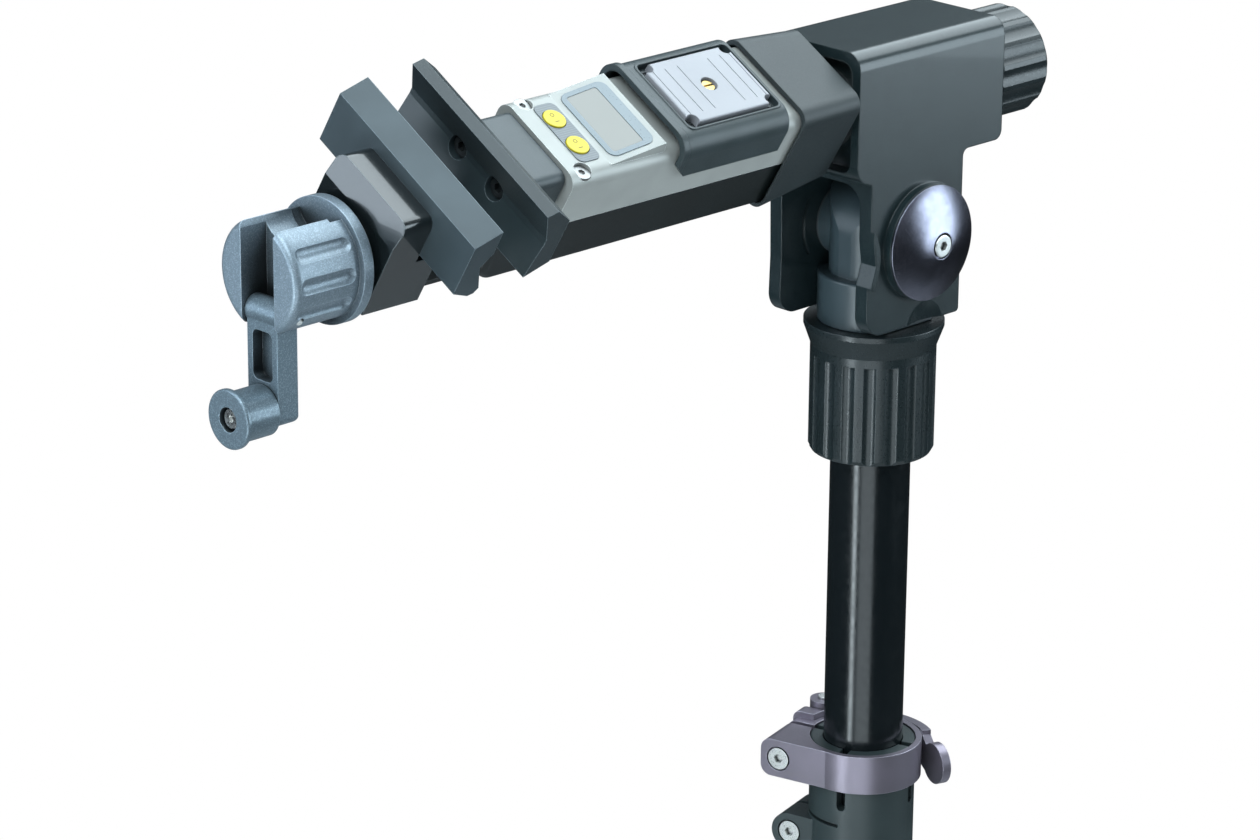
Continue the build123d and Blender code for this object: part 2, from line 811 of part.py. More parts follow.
def head_outline():
    """Side view of the head: the barrel, the waisted cheek and the rear overhang."""
    top = arm_axis_z + barrel_half_z
    under = arm_axis_z - barrel_half_z
    return [(head_front, top), (head_front, under), (cheek_top_x, under), (cheek_top_x, cheek_shoulder_z),
            (cheek_waist_x, cheek_waist_z), (cheek_front, cheek_knee_z), (cheek_front, cheek_bottom),
            (cheek_rear, cheek_bottom), (cheek_rear, overhang_z), (head_rear, overhang_z), (head_rear, top)]


def cross_edges(shape, corners):
    """Edges along Y that pass through the given places in X and Z."""
    found = []
    for edge in shape.edges().filter_by(Axis.Y):
        middle = edge.center()
        for x, z in corners:
            if abs(middle.X - x) < fit and abs(middle.Z - z) < fit:
                found.append(edge)
    return found


def make_head():
    under = arm_axis_z - barrel_half_z
    top = arm_axis_z + barrel_half_z
    head = side_plate(head_outline(), -head_half_y, head_half_y)
    head = fillet(cross_edges(head, [(cheek_front, cheek_bottom)]), cheek_front_round)
    head = fillet(cross_edges(head, [(head_front, under)]), barrel_nose_round)
    head = fillet(cross_edges(head, [(cheek_rear, cheek_bottom)]), cheek_rear_round)
    head = fillet(cross_edges(head, [(cheek_rear, overhang_z)]), hollow_round)
    head = fillet(cross_edges(head, [(head_rear, overhang_z)]), overhang_round)
    head = fillet(cross_edges(head, [(cheek_top_x, under)]), cheek_top_round)
    long_top = [e for e in head.edges().filter_by(Axis.X) if abs(e.center().Z - top) < fit]
    head = fillet(long_top, barrel_round)
    far = side_plate([(far_cheek_front, under), (far_cheek_front + far_cheek_waist, far_cheek_waist_z),
                      (far_cheek_front, cheek_bottom), (0, cheek_bottom), (0, under)],
                     cheek_inner, head_half_y)
    head += fillet(cross_edges(far, [(far_cheek_front, cheek_bottom)]), cheek_front_round)
    head -= bar_x(head_front - cut_over, head_rear + cut_over, -cheek_inner, cheek_inner,
                  cheek_bottom - cheek_inner, slot_top, slot_round)
    head -= bar_x(head_front - cut_over, head_front + head_recess_depth,
                  -head_recess_half_y, head_recess_half_y,
                  arm_axis_z - head_recess_half_z, arm_axis_z + head_recess_half_z, head_recess_round)
    head -= rod_x(head_bore_r, head_front, head_rear + cut_over, 0, arm_axis_z)
    head += rod_y(dome_seat_r, -head_half_y - dome_seat_height, -head_half_y, 0, pivot_z)
    raised = -head_half_y - crescent_rise
    ridge = side_plate(head_outline(), raised, -head_half_y)
    ridge &= rod_y(crescent_r, raised, -head_half_y, crescent_x - crescent_r, crescent_z)
    ridge &= box(cheek_front, crescent_x, raised, -head_half_y, crescent_z - crescent_half,
                 crescent_z + crescent_half)
    head += ridge
    groove = rod_y(arc_r + arc_width / 2, cheek_inner - cut_over, cheek_inner + arc_depth, 0, pivot_z)
    groove -= rod_y(arc_r - arc_width / 2, cheek_inner - cut_over, cheek_inner + arc_depth, 0, pivot_z)
    groove &= box(-arc_r * 2, 0, cheek_inner - cut_over, cheek_inner + arc_depth,
                  pivot_z - arc_half, pivot_z + arc_half)
    head -= groove
    ball_y = -head_half_y - scallop_r + scallop_depth
    head -= Pos(scallop_x, ball_y, cheek_bottom - scallop_drop) * Sphere(scallop_r)
    return head - rod_y(pivot_bolt_r + running, -head_half_y * 2, head_half_y * 2, 0, pivot_z)


def make_dome():
    """Low dome over the pivot, with a sunk seat for the bolt's head."""
    base = head_half_y + dome_seat_height
    sphere_r = (dome_r ** 2 + dome_rise ** 2) / (2 * dome_rise)
    dome = Pos(0, -(base + dome_edge + dome_rise - sphere_r), pivot_z) * Sphere(sphere_r)
    dome &= rod_y(dome_r, -base - dome_edge - dome_rise, -base - dome_edge, 0, pivot_z)
    dome += rod_y(dome_r, -base - dome_edge, -base, 0, pivot_z)
    apex = base + dome_edge + dome_rise
    dome -= rod_y(dome_sink_r, -apex - cut_over, -apex + dome_sink_depth, 0, pivot_z)
    return dome - rod_y(pivot_bolt_r + fit, -apex - cut_over, 0, 0, pivot_z)


def make_pivot_bolt():
    apex = head_half_y + dome_seat_height + dome_edge + dome_rise
    seat = -apex + dome_sink_depth
    bolt = rod_y(pivot_bolt_r, seat, head_half_y + pivot_nut_height, 0, pivot_z)
    head = rod_y(pivot_head_r, seat - pivot_head_height, seat, 0, pivot_z)
    head = fillet(head.edges().filter_by(GeomType.CIRCLE).group_by(Axis.Y)[0], pivot_head_crown)
    plane = Plane(origin=(0, seat - pivot_head_height, pivot_z), x_dir=(1, 0, 0), z_dir=(0, 1, 0))
    head -= extrude(plane * RegularPolygon(bolt_socket_r, hex_side_count), amount=bolt_socket_depth)
    return bolt + head


def make_pivot_nut():
    plane = Plane(origin=(0, head_half_y, pivot_z), x_dir=(1, 0, 0), z_dir=(0, 1, 0))
    nut = extrude(plane * RegularPolygon(pivot_nut_r, hex_side_count), amount=pivot_nut_height)
    return nut - rod_y(pivot_bolt_r + fit, head_half_y - cut_over, head_half_y + pivot_nut_height + cut_over,
                       0, pivot_z)


def make_bushes():
    """Plain bushes that carry the arm's shaft in the head."""
    front = head_front + head_recess_depth
    rear = head_rear - bush_rear_gap
    bushes = []
    for start in (front, rear - bush_length):
        bush = rod_x(head_bore_r - fit, start, start + bush_length, 0, arm_axis_z)
        bush -= rod_x(shaft_r + running, start - cut_over, start + bush_length + cut_over, 0, arm_axis_z)
        bushes.append(bush)
    return Compound(children=bushes)


def make_shaft():
    flange_back = bracket_rear + shaft_flange_thick
    shaft = rod_x(shaft_flange_r, bracket_rear, flange_back)
    shaft += rod_x(shaft_r, flange_back, shaft_shoulder_x)
    return level(shaft + rod_x(stud_r, shaft_shoulder_x, stud_end))


def make_rear_knob():
    knob = rod_x(knob_r, knob_front + knob_hub_length, knob_rear)
    knob = fillet(knob.edges().filter_by(GeomType.CIRCLE), knob_edge)
    knob += rod_x(knob_hub_r, knob_front, knob_front + knob_hub_length)
    for index in range(knob_flute_count):
        turn = Rot(index * 360 / knob_flute_count, 0, 0)
        centre = knob_r + knob_flute_r - knob_flute_depth
        flute = rod_x(knob_flute_r, knob_front + knob_hub_length - cut_over, knob_rear + cut_over, 0, centre)
        knob -= turn * flute
    knob -= rod_x(stud_r + running, knob_front - cut_over, knob_bore_end)
    return Pos(0, 0, arm_axis_z) * knob


# Arm

def make_bracket():
    front = section(bracket_front, -bracket_half, bracket_half, bracket_low, bracket_high, bracket_round)
    rear = section(bracket_rear, -bracket_rear_half, bracket_rear_half, bracket_rear_low, bracket_rear_high,
                   bracket_round)
    bracket = loft([front, rear], ruled=True)
    gap = bracket_pocket_gap
    pocket = bar_x(bracket_front - cut_over, bracket_front + bracket_pocket_depth, -house_half - gap,
                   house_half + gap, beam_low - gap, house_high + gap, house_round)
    return level(bracket - pocket)


def make_beam():
    """Channel that carries the whole arm."""
    rear = bracket_front + bracket_pocket_depth
    outline = [(beam_front, beam_high), (beam_front, beam_low), (rear, beam_low), (rear, beam_high)]
    beam = side_plate(outline, -beam_half, beam_half)
    nose = [e for e in beam.edges().filter_by(Axis.Y)
            if abs(e.center().X - beam_front) < fit and abs(e.center().Z - beam_low) < fit]
    beam = fillet(nose, beam_nose_round)
    low = [e for e in beam.edges().filter_by(Axis.X) if abs(e.center().Z - beam_low) < fit]
    beam = fillet(low, beam_edge)
    channel = box(beam_front - cut_over, rear + cut_over, -beam_half + beam_wall, beam_half - beam_wall,
                  beam_low + beam_floor, beam_high + cut_over)
    return level(beam - channel)


def wedge_height(x):
    """Height of the sloping display face at a place along the arm."""
    return house_high + wedge_rise * (x - wedge_front) / (wedge_rear - wedge_front)


def sloped(x0, x1, half, radius, above, thick):
    """Plate lying on the sloping display face: its top stands above the face."""
    slope = math.degrees(math.atan2(wedge_rise, wedge_rear - wedge_front))
    middle = (x0 + x1) / 2
    frame = Plane(origin=(middle, 0, wedge_height(middle)), x_dir=(1, 0, 0), z_dir=(0, 0, 1))
    plate = extrude(RectangleRounded(x1 - x0, half * 2, radius), amount=-thick)
    return frame.location * Rot(0, -slope, 0) * Pos(0, 0, above) * plate


def make_housing():
    rear = bracket_front + bracket_pocket_depth
    shell = box(house_front, rear, -house_half, house_half, beam_high, house_high)
    long_top = [e for e in shell.edges().filter_by(Axis.X) if abs(e.center().Z - house_high) < fit]
    shell = fillet(long_top, house_round)
    wedge = side_plate([(wedge_front, house_high - wedge_base), (wedge_front, house_high),
                        (wedge_rear, house_high + wedge_rise), (wedge_rear + wedge_base, house_high),
                        (wedge_rear + wedge_base, house_high - wedge_base)], -wedge_half, wedge_half)
    shell += wedge
    inside = house_half - house_wall
    shell -= box(house_front + house_wall, rear - house_wall, -inside, inside, beam_high - cut_over,
                 house_high - house_roof)
    shell -= box(house_front - cut_over, house_front + house_wall + cut_over, -cell_half - cell_gap,
                 cell_half + cell_gap, beam_high - cut_over, cell_high + cell_gap)
    for side in (-1, 1):
        shell -= rod_z(house_screw_r + running, house_high - house_screw_sink, house_high + cut_over,
                       house_screw_x, side * house_screw_y)
        shell -= rod_z(button_stem_r + button_gap, house_high - house_roof - cut_over, house_high + cut_over,
                       button_x, side * button_y)
        shell -= rod_z(button_r + button_gap * 2, house_high - panel_thick - button_travel * 2,
                       house_high + cut_over, button_x, side * button_y)
    shell -= plate_z(panel_front - fit, panel_rear + fit, -panel_half - fit, panel_half + fit,
                     house_high - panel_sunk, house_high + cut_over, panel_round)
    shell -= sloped(bezel_front - fit, bezel_rear + fit, bezel_half + fit, bezel_round, cut_over,
                    bezel_sunk + cut_over)
    well = well_gap
    shell -= plate_z(lid_front - well, lid_rear + well, -lid_half - well, lid_half + well,
                     house_high - house_roof - cut_over, house_high + cut_over, well_round)
    shell += box(lid_front - well, lid_rear + well, -inside, inside,
                 battery_low - battery_tray_thick, battery_low)
    return level(shell)


def make_house_screws():
    screws = []
    for side in (-1, 1):
        top = house_high - house_screw_top
        screw = rod_z(house_screw_r - running, house_high - house_screw_sink, top,
                      house_screw_x, side * house_screw_y)
        plane = Plane(origin=(house_screw_x, side * house_screw_y, top))
        screw -= extrude(plane * RegularPolygon(bolt_socket_r * 2 / 3, 6), amount=-panel_thick)
        screws.append(screw)
    return level(Compound(children=screws))


def make_button_panel():
    bottom = house_high - panel_sunk
    panel = plate_z(panel_front, panel_rear, -panel_half, panel_half, bottom, bottom + panel_thick,
                    panel_round)
    for side in (-1, 1):
        panel -= rod_z(button_r + button_gap, bottom - cut_over, bottom + panel_thick + cut_over,
                       button_x, side * button_y)
    return level(panel)


def make_button(side):
    """Round key with a stem that reaches towards the board."""
    top = house_high - panel_sunk + panel_thick + button_rise
    base = house_high - panel_thick
    key = rod_z(button_r, base, top, button_x, side * button_y)
    key = fillet(key.edges().group_by(Axis.Z)[-1], button_rise / 2)
    return level(key + rod_z(button_stem_r, base - button_stem_length, base, button_x, side * button_y))


def make_bezel():
    frame = sloped(bezel_front, bezel_rear, bezel_half, bezel_round, bezel_thick - bezel_sunk, bezel_thick)
    return level(frame - sloped(window_front - fit, window_rear + fit, window_half + fit, window_round,
                                bezel_thick, bezel_thick * 2))


def make_window():
    return level(sloped(window_front, window_rear, window_half, window_round,
                        window_thick - bezel_sunk, window_thick))


def make_board():
    """Circuit board hung on posts under the housing's roof, with the tact switches under the keys."""
    roof = house_high - house_roof
    top = house_high - board_drop
    front = house_front + house_wall + board_front_gap
    board = box(front, board_rear, -board_half, board_half, top - board_thick, top)
    for side in (-1, 1):
        for x in (front + board_post_r * 2, board_rear - board_post_r * 2):
            board += rod_z(board_post_r, top, roof, x, side * (board_half - board_post_r * 2))
        stem_end = house_high - panel_thick - button_stem_length - button_travel
        board += rod_z(button_stem_r, top, stem_end, button_x, side * button_y)
    return level(board)


def make_load_cell():
    cell = box(block_rear, cell_rear, -cell_half, cell_half, cell_low, cell_high)
    foot_front = cell_rear - cell_foot_length
    cell += box(foot_front, cell_rear, -cell_foot_half, cell_foot_half, beam_high, cell_low)
    waist = (block_rear + foot_front) / 2
    hole_r = (cell_high - cell_low) / 3
    hole_step = hole_r * 5 / 4
    for side in (-1, 1):
        cell -= rod_y(hole_r, -cell_half - cut_over, cell_half + cut_over, waist + side * hole_step,
                      (cell_low + cell_high) / 2)
    return level(cell)


def make_battery():
    middle = (lid_front + lid_rear) / 2
    return level(box(middle - battery_length / 2, middle + battery_length / 2, -battery_width / 2,
                     battery_width / 2, battery_low, battery_low + battery_height))


def cover_shell(x0, x1, grow):
    """Arch over the housing, open below, with an outer face set out by the given growth."""
    outer = bar_x(x0, x1, -cover_half - grow, cover_half + grow, cover_low - cover_round * 2,
                  cover_high + grow, cover_round)
    inner = bar_x(x0 - cut_over, x1 + cut_over, -cover_half + cover_wall, cover_half - cover_wall,
                  cover_low - cover_round * 3, cover_high - cover_wall, cover_round - cover_wall)
    return outer - inner


def make_saddle_cover():
    """Dark cover that wraps the housing's top and sides, with a well for the battery lid."""
    well = well_gap
    shell = cover_shell(cover_front, cover_rear, 0)
    shell += cover_shell(cover_front, cover_front + cover_lip_length, cover_lip)
    reach = cover_high + cover_lip + cut_over
    kept = side_plate([(cover_front, reach), (cover_front, cover_low + cover_slant),
                       (cover_front + cover_slant, cover_low), (cover_rear, cover_low), (cover_rear, reach)],
                      -cover_half - cover_lip - cut_over, cover_half + cover_lip + cut_over)
    shell &= kept
    rim = well + cover_wall
    shell += plate_z(lid_front - rim, cover_rear, -lid_half - rim, lid_half + rim,
                     house_high, cover_high - cover_wall, well_round)
    edge = well + well_rim_width
    shell += plate_z(lid_front - edge, lid_rear + edge, -lid_half - edge, lid_half + edge,
                     cover_high - cover_wall, cover_high + well_rim_rise, well_round)
    shell -= plate_z(lid_front - well, lid_rear + well, -lid_half - well, lid_half + well,
                     cover_high - well_depth, cover_high + cut_over, well_round)
    shell -= plate_z(lid_front + lid_notch, lid_rear - lid_notch,
                     -lid_half + lid_notch, lid_half - lid_notch,
                     house_high - cut_over, cover_high, well_round)
    middle = (lid_front + lid_rear) / 2
    bridge = box(middle - lock_hole_r * 2, middle + lock_hole_r * 2, -lid_half, lid_half,
                 house_high, cover_high - well_depth)
    bridge -= rod_z(lock_screw_r + fit, house_high - cut_over, cover_high, middle, 0)
    return level(shell + bridge)


def lid_corners():
    """Centres of the lid's four corner notches."""
    inset = lid_screw_inset
    along = (lid_front + inset, lid_rear - inset)
    return [(x, side * (lid_half - inset)) for x in along for side in (-1, 1)]


def make_lid():
    bottom = cover_high - well_depth + fit
    lid = plate_z(lid_front, lid_rear, -lid_half, lid_half, bottom, lid_high, lid_round)
    lid = fillet(lid.edges().group_by(Axis.Z)[-1], lid_thick / 4)
    for x, y in lid_corners():
        lid -= rod_z(lid_notch - lid_screw_inset, bottom - cut_over, lid_high + cut_over, x, y)
    length = lid_rear - lid_front
    inner = lid_half - lid_notch
    for share in lid_line_shares:
        x = lid_front + share * length
        lid -= box(x - lid_line_width / 2, x + lid_line_width / 2, -inner, inner,
                   lid_high - lid_line_depth, lid_high + cut_over)
    middle = (lid_front + lid_rear) / 2
    return level(lid - rod_z(lock_hole_r, bottom - cut_over, lid_high + cut_over, middle, 0))


def make_lid_screws():
    bottom = cover_high - well_depth
    screws = []
    for x, y in lid_corners():
        screw = rod_z(lid_screw_r, bottom, bottom + lid_screw_height, x, y)
        screw -= box(x - lid_screw_r, x + lid_screw_r, y - lid_screw_r / 8, y + lid_screw_r / 8,
                     bottom + lid_screw_height / 2, bottom + lid_screw_height + cut_over)
        screws.append(screw)
    return level(Compound(children=screws))


def make_lock_screw():
    middle = (lid_front + lid_rear) / 2
    top = lid_high - lock_screw_sunk
    screw = rod_z(lock_screw_r, top - lock_screw_length, top, middle, 0)
    slot = box(middle - lock_screw_r, middle + lock_screw_r, -lock_screw_r / 6, lock_screw_r / 6,
               top - lock_screw_sunk, top + cut_over)
    return level(screw - slot)


def make_front_block():
    block = bar_x(block_front, block_rear, -block_half, block_half, block_low, block_high, block_round)
    for side in (-1, 1):
        block -= rod_x(jaw_bolt_r + fit, block_front - cut_over, jaw_bolt_end + cut_over, side * jaw_bolt_y,
                       jaw_bolt_z)
    return level(block)


def make_rear_jaw():
    """Angled gripping bar with two sunk bolts."""
    outer = block_front
    groove = rear_jaw_groove
    jaw = side_plate(placed(rear_jaw_shares, outer, -rear_jaw_depth, rear_jaw_low, rear_jaw_height),
                     -jaw_half, jaw_half)
    for side in (-1, 1):
        jaw -= rod_x(jaw_bolt_r + fit, groove - cut_over, outer + cut_over, side * jaw_bolt_y, jaw_bolt_z)
        jaw -= rod_x(jaw_sink_r, groove - jaw_sink_r, groove + jaw_sink_depth, side * jaw_bolt_y, jaw_bolt_z)
    return level(jaw)


def make_jaw_bolts():
    seat = rear_jaw_groove + jaw_sink_depth
    bolts = []
    for side in (-1, 1):
        bolts.append(socket_bolt(seat - jaw_bolt_head_height, jaw_bolt_end, side * jaw_bolt_y, jaw_bolt_z,
                                 jaw_bolt_r, jaw_bolt_head_r, jaw_bolt_head_height))
    return level(Compound(children=bolts))


# Jaw carriage

def make_front_jaw():
    profile = placed(front_jaw_shares, front_jaw_back, front_jaw_depth, front_jaw_low, front_jaw_height)
    return level(side_plate(profile, -jaw_half, jaw_half))


def make_carrier():
    profile = [(carrier_front, carrier_low), (carrier_rear, carrier_low), (carrier_rear, carrier_ledge),
               (front_jaw_back, carrier_ledge), (front_jaw_back, carrier_high),
               (carrier_front + carrier_chamfer_x, carrier_high), (carrier_front, carrier_chamfer_z)]
    body = side_plate(profile, -carrier_half, carrier_half)
    top = [e for e in body.edges().filter_by(Axis.X) if abs(e.center().Z - carrier_high) < fit]
    body = fillet(top, carrier_round)
    body += rod_x(carrier_boss_r, carrier_front - carrier_boss_length, carrier_front, 0, spindle_z)
    body -= rod_x(spindle_r + running, carrier_front - carrier_boss_length - cut_over,
                  carrier_rear + cut_over, 0, spindle_z)
    body -= box(runner_front - fit, carrier_rear + cut_over, -runner_half - fit, runner_half + fit,
                runner_low - fit, runner_high + fit)
    return level(body)


def make_runner():
    """Flat bar that guides the carriage inside the beam."""
    return level(box(runner_front, runner_rear, -runner_half, runner_half, runner_low, runner_high))


def make_spindle():
    return level(rod_x(spindle_r, spindle_front, spindle_rear, 0, spindle_z))


def make_nut():
    half = beam_half - beam_wall
    nut = box(nut_front, nut_rear, -half, half, nut_low, nut_high)
    return level(nut - rod_x(spindle_r + running, nut_front - cut_over, nut_rear + cut_over, 0, spindle_z))


# Crank

crank_y = -spindle_z * math.sin(math.radians(arm_roll))
crank_z = arm_axis_z + spindle_z * math.cos(math.radians(arm_roll))


def crank_frame(shape):
    """Moves a piece of the crank to the spindle's axis."""
    return Pos(0, crank_y, crank_z) * shape


def make_crank_knob():
    grip = rod_x(grip_r, grip_front, flange_front)
    grip = fillet(grip.edges().filter_by(GeomType.CIRCLE).group_by(Axis.X)[0], grip_round)
    knob = grip + rod_x(flange_r, flange_front, flange_rear)
    for half in (0, 180):
        for step in (-1, 0, 1):
            turn = Rot(half + 90 + step * pill_angle, 0, 0)
            centre = grip_r + pill_r - pill_depth
            pill = rod_x(pill_r, pill_front + pill_r, pill_rear - pill_r, 0, centre)
            for end in (pill_front + pill_r, pill_rear - pill_r):
                pill += Pos(end, 0, centre) * Sphere(pill_r)
            knob -= turn * pill
    knob -= box(grip_front - cut_over, slot_floor, -slot_half, slot_half, -flange_r, flange_r)
    stow_z = handle_drop - hinge_drop
    knob -= rod_x(scoop_small_r, grip_front - cut_over, scoop_step, 0, stow_z)
    knob -= rod_x(scoop_large_r, scoop_step, flange_front, 0, stow_z)
    knob -= rod_x(spindle_r + fit, spindle_front, flange_rear + cut_over)
    pin_reach = hinge_pin_half + fit
    knob -= rod_y(hinge_pin_r + fit, -grip_r, pin_reach, hinge_x, -hinge_drop)
    return crank_frame(knob)


def make_hinge_pin():
    return crank_frame(rod_y(hinge_pin_r, -hinge_pin_half, hinge_pin_half, hinge_x, -hinge_drop))


def make_crank_arm():
    bottom = -hinge_drop - crank_length
    arm = rod_y(crank_eye_r, -crank_eye_half, crank_eye_half, hinge_x, -hinge_drop)
    bar = box(crank_front, crank_rear, -crank_half, crank_half, bottom, -hinge_drop)
    foot = [e for e in bar.edges().filter_by(Axis.X) if abs(e.center().Z - bottom) < fit]
    foot += [e for e in bar.edges().filter_by(Axis.Y)
             if abs(e.center().Z - bottom) < fit and abs(e.center().X - crank_rear) < fit]
    arm += fillet(foot, crank_corner)
    pocket_top = -hinge_drop - crank_pocket_top
    pocket_bottom = -hinge_drop - crank_pocket_bottom
    plane = Plane(origin=(crank_front - cut_over, 0, (pocket_top + pocket_bottom) / 2), x_dir=(0, 1, 0),
                  z_dir=(1, 0, 0))
    pocket = extrude(plane * RectangleRounded(crank_pocket_half * 2, pocket_top - pocket_bottom,
                                              crank_pocket_round), amount=crank_pocket_depth + cut_over)
    arm -= pocket
    arm -= rod_y(hinge_pin_r + running, -slot_half, slot_half, hinge_x, -hinge_drop)
    handle_z = -hinge_drop - handle_drop
    arm -= rod_x(handle_screw_r + fit, crank_front - cut_over, handle_screw_end, 0, handle_z)
    return crank_frame(arm)


def make_handle():
    handle_z = -hinge_drop - handle_drop
    handle = rod_x(handle_r, handle_front, handle_rear, 0, handle_z)
    rim = rod_x(handle_flange_r, handle_front, handle_front + handle_flange_length, 0, handle_z)
    rim = fillet(rim.edges().filter_by(GeomType.CIRCLE), handle_groove)
    handle += rim
    handle -= rod_x(handle_sink_r, handle_front - cut_over, handle_front + handle_sink_depth, 0, handle_z)
    handle -= rod_x(handle_screw_r + running, handle_front, handle_rear + cut_over, 0, handle_z)
    return crank_frame(handle)


def make_handle_screw():
    handle_z = -hinge_drop - handle_drop
    seat = handle_front + handle_sink_depth - running
    return crank_frame(socket_bolt(seat - handle_screw_head_height, handle_screw_end, 0, handle_z,
                                   handle_screw_r, handle_screw_head_r, handle_screw_head_height,
                                   bolt_socket_r * 2 / 3, handle_screw_head_height / 2))


parts = {
    "post_tube": make_post(),
    "post_foot": make_post_foot(),
    "top_sleeve": make_sleeve(),
    "pinch_bolts": make_pinch_bolts(),
    "quick_release_collar": make_collar(),
    "clamp_bolt": make_clamp_bolt(),
    "cam_saddle": make_cam_saddle(),
    "cam_pin": make_cam_pin(),
    "quick_release_lever": make_lever(),
    "leg_hub": make_hub(),
    "leg_pivot_bolts": make_leg_bolts(),
    "mast_tube": make_mast(),
    "mast_bushing": make_bushing(),
    "lock_ring": make_lock_ring(),
    "neck": make_neck(),
    "pivot_washers": make_pads(),
    "head": make_head(),
    "pivot_dome": make_dome(),
    "pivot_bolt": make_pivot_bolt(),
    "pivot_nut": make_pivot_nut(),
    "shaft_bushes": make_bushes(),
    "arm_shaft": make_shaft(),
    "rear_knob": make_rear_knob(),
    "arm_bracket": make_bracket(),
    "arm_beam": make_beam(),
    "scale_housing": make_housing(),
    "housing_screws": make_house_screws(),
    "button_panel": make_button_panel(),
    "power_button": make_button(-1),
    "unit_button": make_button(1),
    "display_bezel": make_bezel(),
    "display_window": make_window(),
    "circuit_board": make_board(),
    "load_cell": make_load_cell(),
    "battery": make_battery(),
    "saddle_cover": make_saddle_cover(),
    "battery_lid": make_lid(),
    "lid_screws": make_lid_screws(),
    "lid_lock_screw": make_lock_screw(),
    "front_block": make_front_block(),
    "rear_jaw": make_rear_jaw(),
    "jaw_bolts": make_jaw_bolts(),
    "spindle_nut": make_nut(),
    "front_jaw": make_front_jaw(),
    "jaw_carrier": make_carrier(),
    "guide_runner": make_runner(),
    "spindle": make_spindle(),
    "crank_knob": make_crank_knob(),
    "crank_hinge_pin": make_hinge_pin(),
    "crank_arm": make_crank_arm(),
    "crank_handle": make_handle(),
    "handle_screw": make_handle_screw(),
}
for leg_index in range(leg_count):
    parts["leg_" + str(leg_index + 1)] = make_leg(leg_index)
    parts["leg_foot_" + str(leg_index + 1)] = make_leg_foot(leg_index)

os.makedirs("parts", exist_ok=True)
for node, shape in parts.items():
    export_step(shape, "parts/" + node + ".step")
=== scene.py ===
import math

import bpy
from mathutils import Matrix, Vector


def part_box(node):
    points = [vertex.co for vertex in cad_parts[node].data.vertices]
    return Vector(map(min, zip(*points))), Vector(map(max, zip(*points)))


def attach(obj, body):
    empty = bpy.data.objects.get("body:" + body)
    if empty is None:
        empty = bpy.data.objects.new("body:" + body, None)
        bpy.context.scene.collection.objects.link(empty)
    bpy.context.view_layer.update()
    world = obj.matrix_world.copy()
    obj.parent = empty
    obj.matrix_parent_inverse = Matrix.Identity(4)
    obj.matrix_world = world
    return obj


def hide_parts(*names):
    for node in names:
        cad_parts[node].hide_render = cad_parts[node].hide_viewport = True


bl_info = {
    "name": "Repair Stand Looks",
    "version": (1, 0, 0),
    "blender": (4, 5, 0),
    "location": "3D View > Sidebar > Repair Stand",
    "description": "Materials, fine pieces, light and camera for a bicycle repair stand",
    "category": "Object",
}

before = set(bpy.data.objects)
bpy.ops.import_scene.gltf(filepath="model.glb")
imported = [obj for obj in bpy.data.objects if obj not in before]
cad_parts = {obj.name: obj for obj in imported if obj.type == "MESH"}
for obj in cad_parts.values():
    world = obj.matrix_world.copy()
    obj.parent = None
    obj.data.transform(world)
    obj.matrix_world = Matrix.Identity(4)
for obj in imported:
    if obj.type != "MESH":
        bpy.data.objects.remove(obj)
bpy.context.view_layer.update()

# Lengths are in metres
mm = 0.001
arm_axis_height = 1112.0 * mm
arm_roll = math.radians(30.87)

# The photograph's camera, with its angles in degrees and its lens and sensor in millimetres
camera_place = (-1549.7 * mm, -1398.0 * mm, 1680.68 * mm)
camera_azimuth = 44.831
camera_down = 19.298
camera_roll = -0.5
camera_lens = 134.16
sensor_width = 36.0
camera_reach = 60.0

# Noise of the finishes, in cells in each metre
fleck_cells = 2600
moulded_cells = 1500
cast_cells = 900
scratch_cells = 400
cloud_cells = 30
cloud_coarseness = 40  # how many times coarser colour clouds are than a grained finish's grain

# Span of the noise's values that shows, from none to full
grain_range = (0.3, 0.7)
cloud_range = (0.35, 0.65)
fleck_range = (0.55, 0.95)

# Relief of the finishes
fine_relief = 0.1 * mm
coarse_relief = 0.2 * mm
line_width = 0.14  # share of the lines' pitch

# Paler outer edges, partly wear and partly painted highlight
wear_and_highlight_range = (0.98, 0.75)  # cosine of the edge's lean, from none to full paling
wear_and_highlight_width = 0.8  # share of the soft edge's radius
rubbed_and_glint_gain = 1.5  # how much brighter flecks are on the paler edges, partly rubbing and partly painted highlight

# Painted shade in sockets and narrow gaps
hollow_shade_color = (0.012, 0.014, 0.015)
hollow_shade_range = (0.35, 0.8)  # how open a place is, from full painted shade to none

# Thread of the spindle
thread_foot = 0.66  # share of the pitch
thread_crest = 0.35  # share of the foot
thread_sink = 0.7  # share of the depth by which the core is thinner
rod_chamfer = 0.15  # share of the radius
thread_steps = 28  # in each turn

# Signs on the keys, as shares of a key's radius
ring_size = 0.17
ring_width = 0.06
bar_length = 0.42
bar_width = 0.07
sign_rise = 0.03
sign_offset = 0.38

# Colours of the light from the panels and of the sky
cool_white = (0.82, 0.94, 1.0)
cooler_white = (0.76, 0.91, 1.0)
cold_white = (0.75, 0.88, 1.0)
sky_color = (0.76, 0.87, 0.94)


# Nodes of a material

def new_material(name, color, roughness, metallic=0.0, coat=0.0):
    """A principled material with its plain values set on the shader's own sockets."""
    material = bpy.data.materials.new(name)
    material.use_nodes = True
    shader = material.node_tree.nodes["Principled BSDF"]
    shader.inputs["Base Color"].default_value = (*color, 1)
    shader.inputs["Roughness"].default_value = roughness
    shader.inputs["Metallic"].default_value = metallic
    shader.inputs["Coat Weight"].default_value = coat
    return material


def add_node(owner, kind, **values):
    """A node in a material or world with its properties set."""
    node = owner.node_tree.nodes.new(kind)
    for key, value in values.items():
        setattr(node, key, value)
    return node


def link(owner, source, target):
    """Links two sockets of a material or world."""
    owner.node_tree.links.new(source, target)


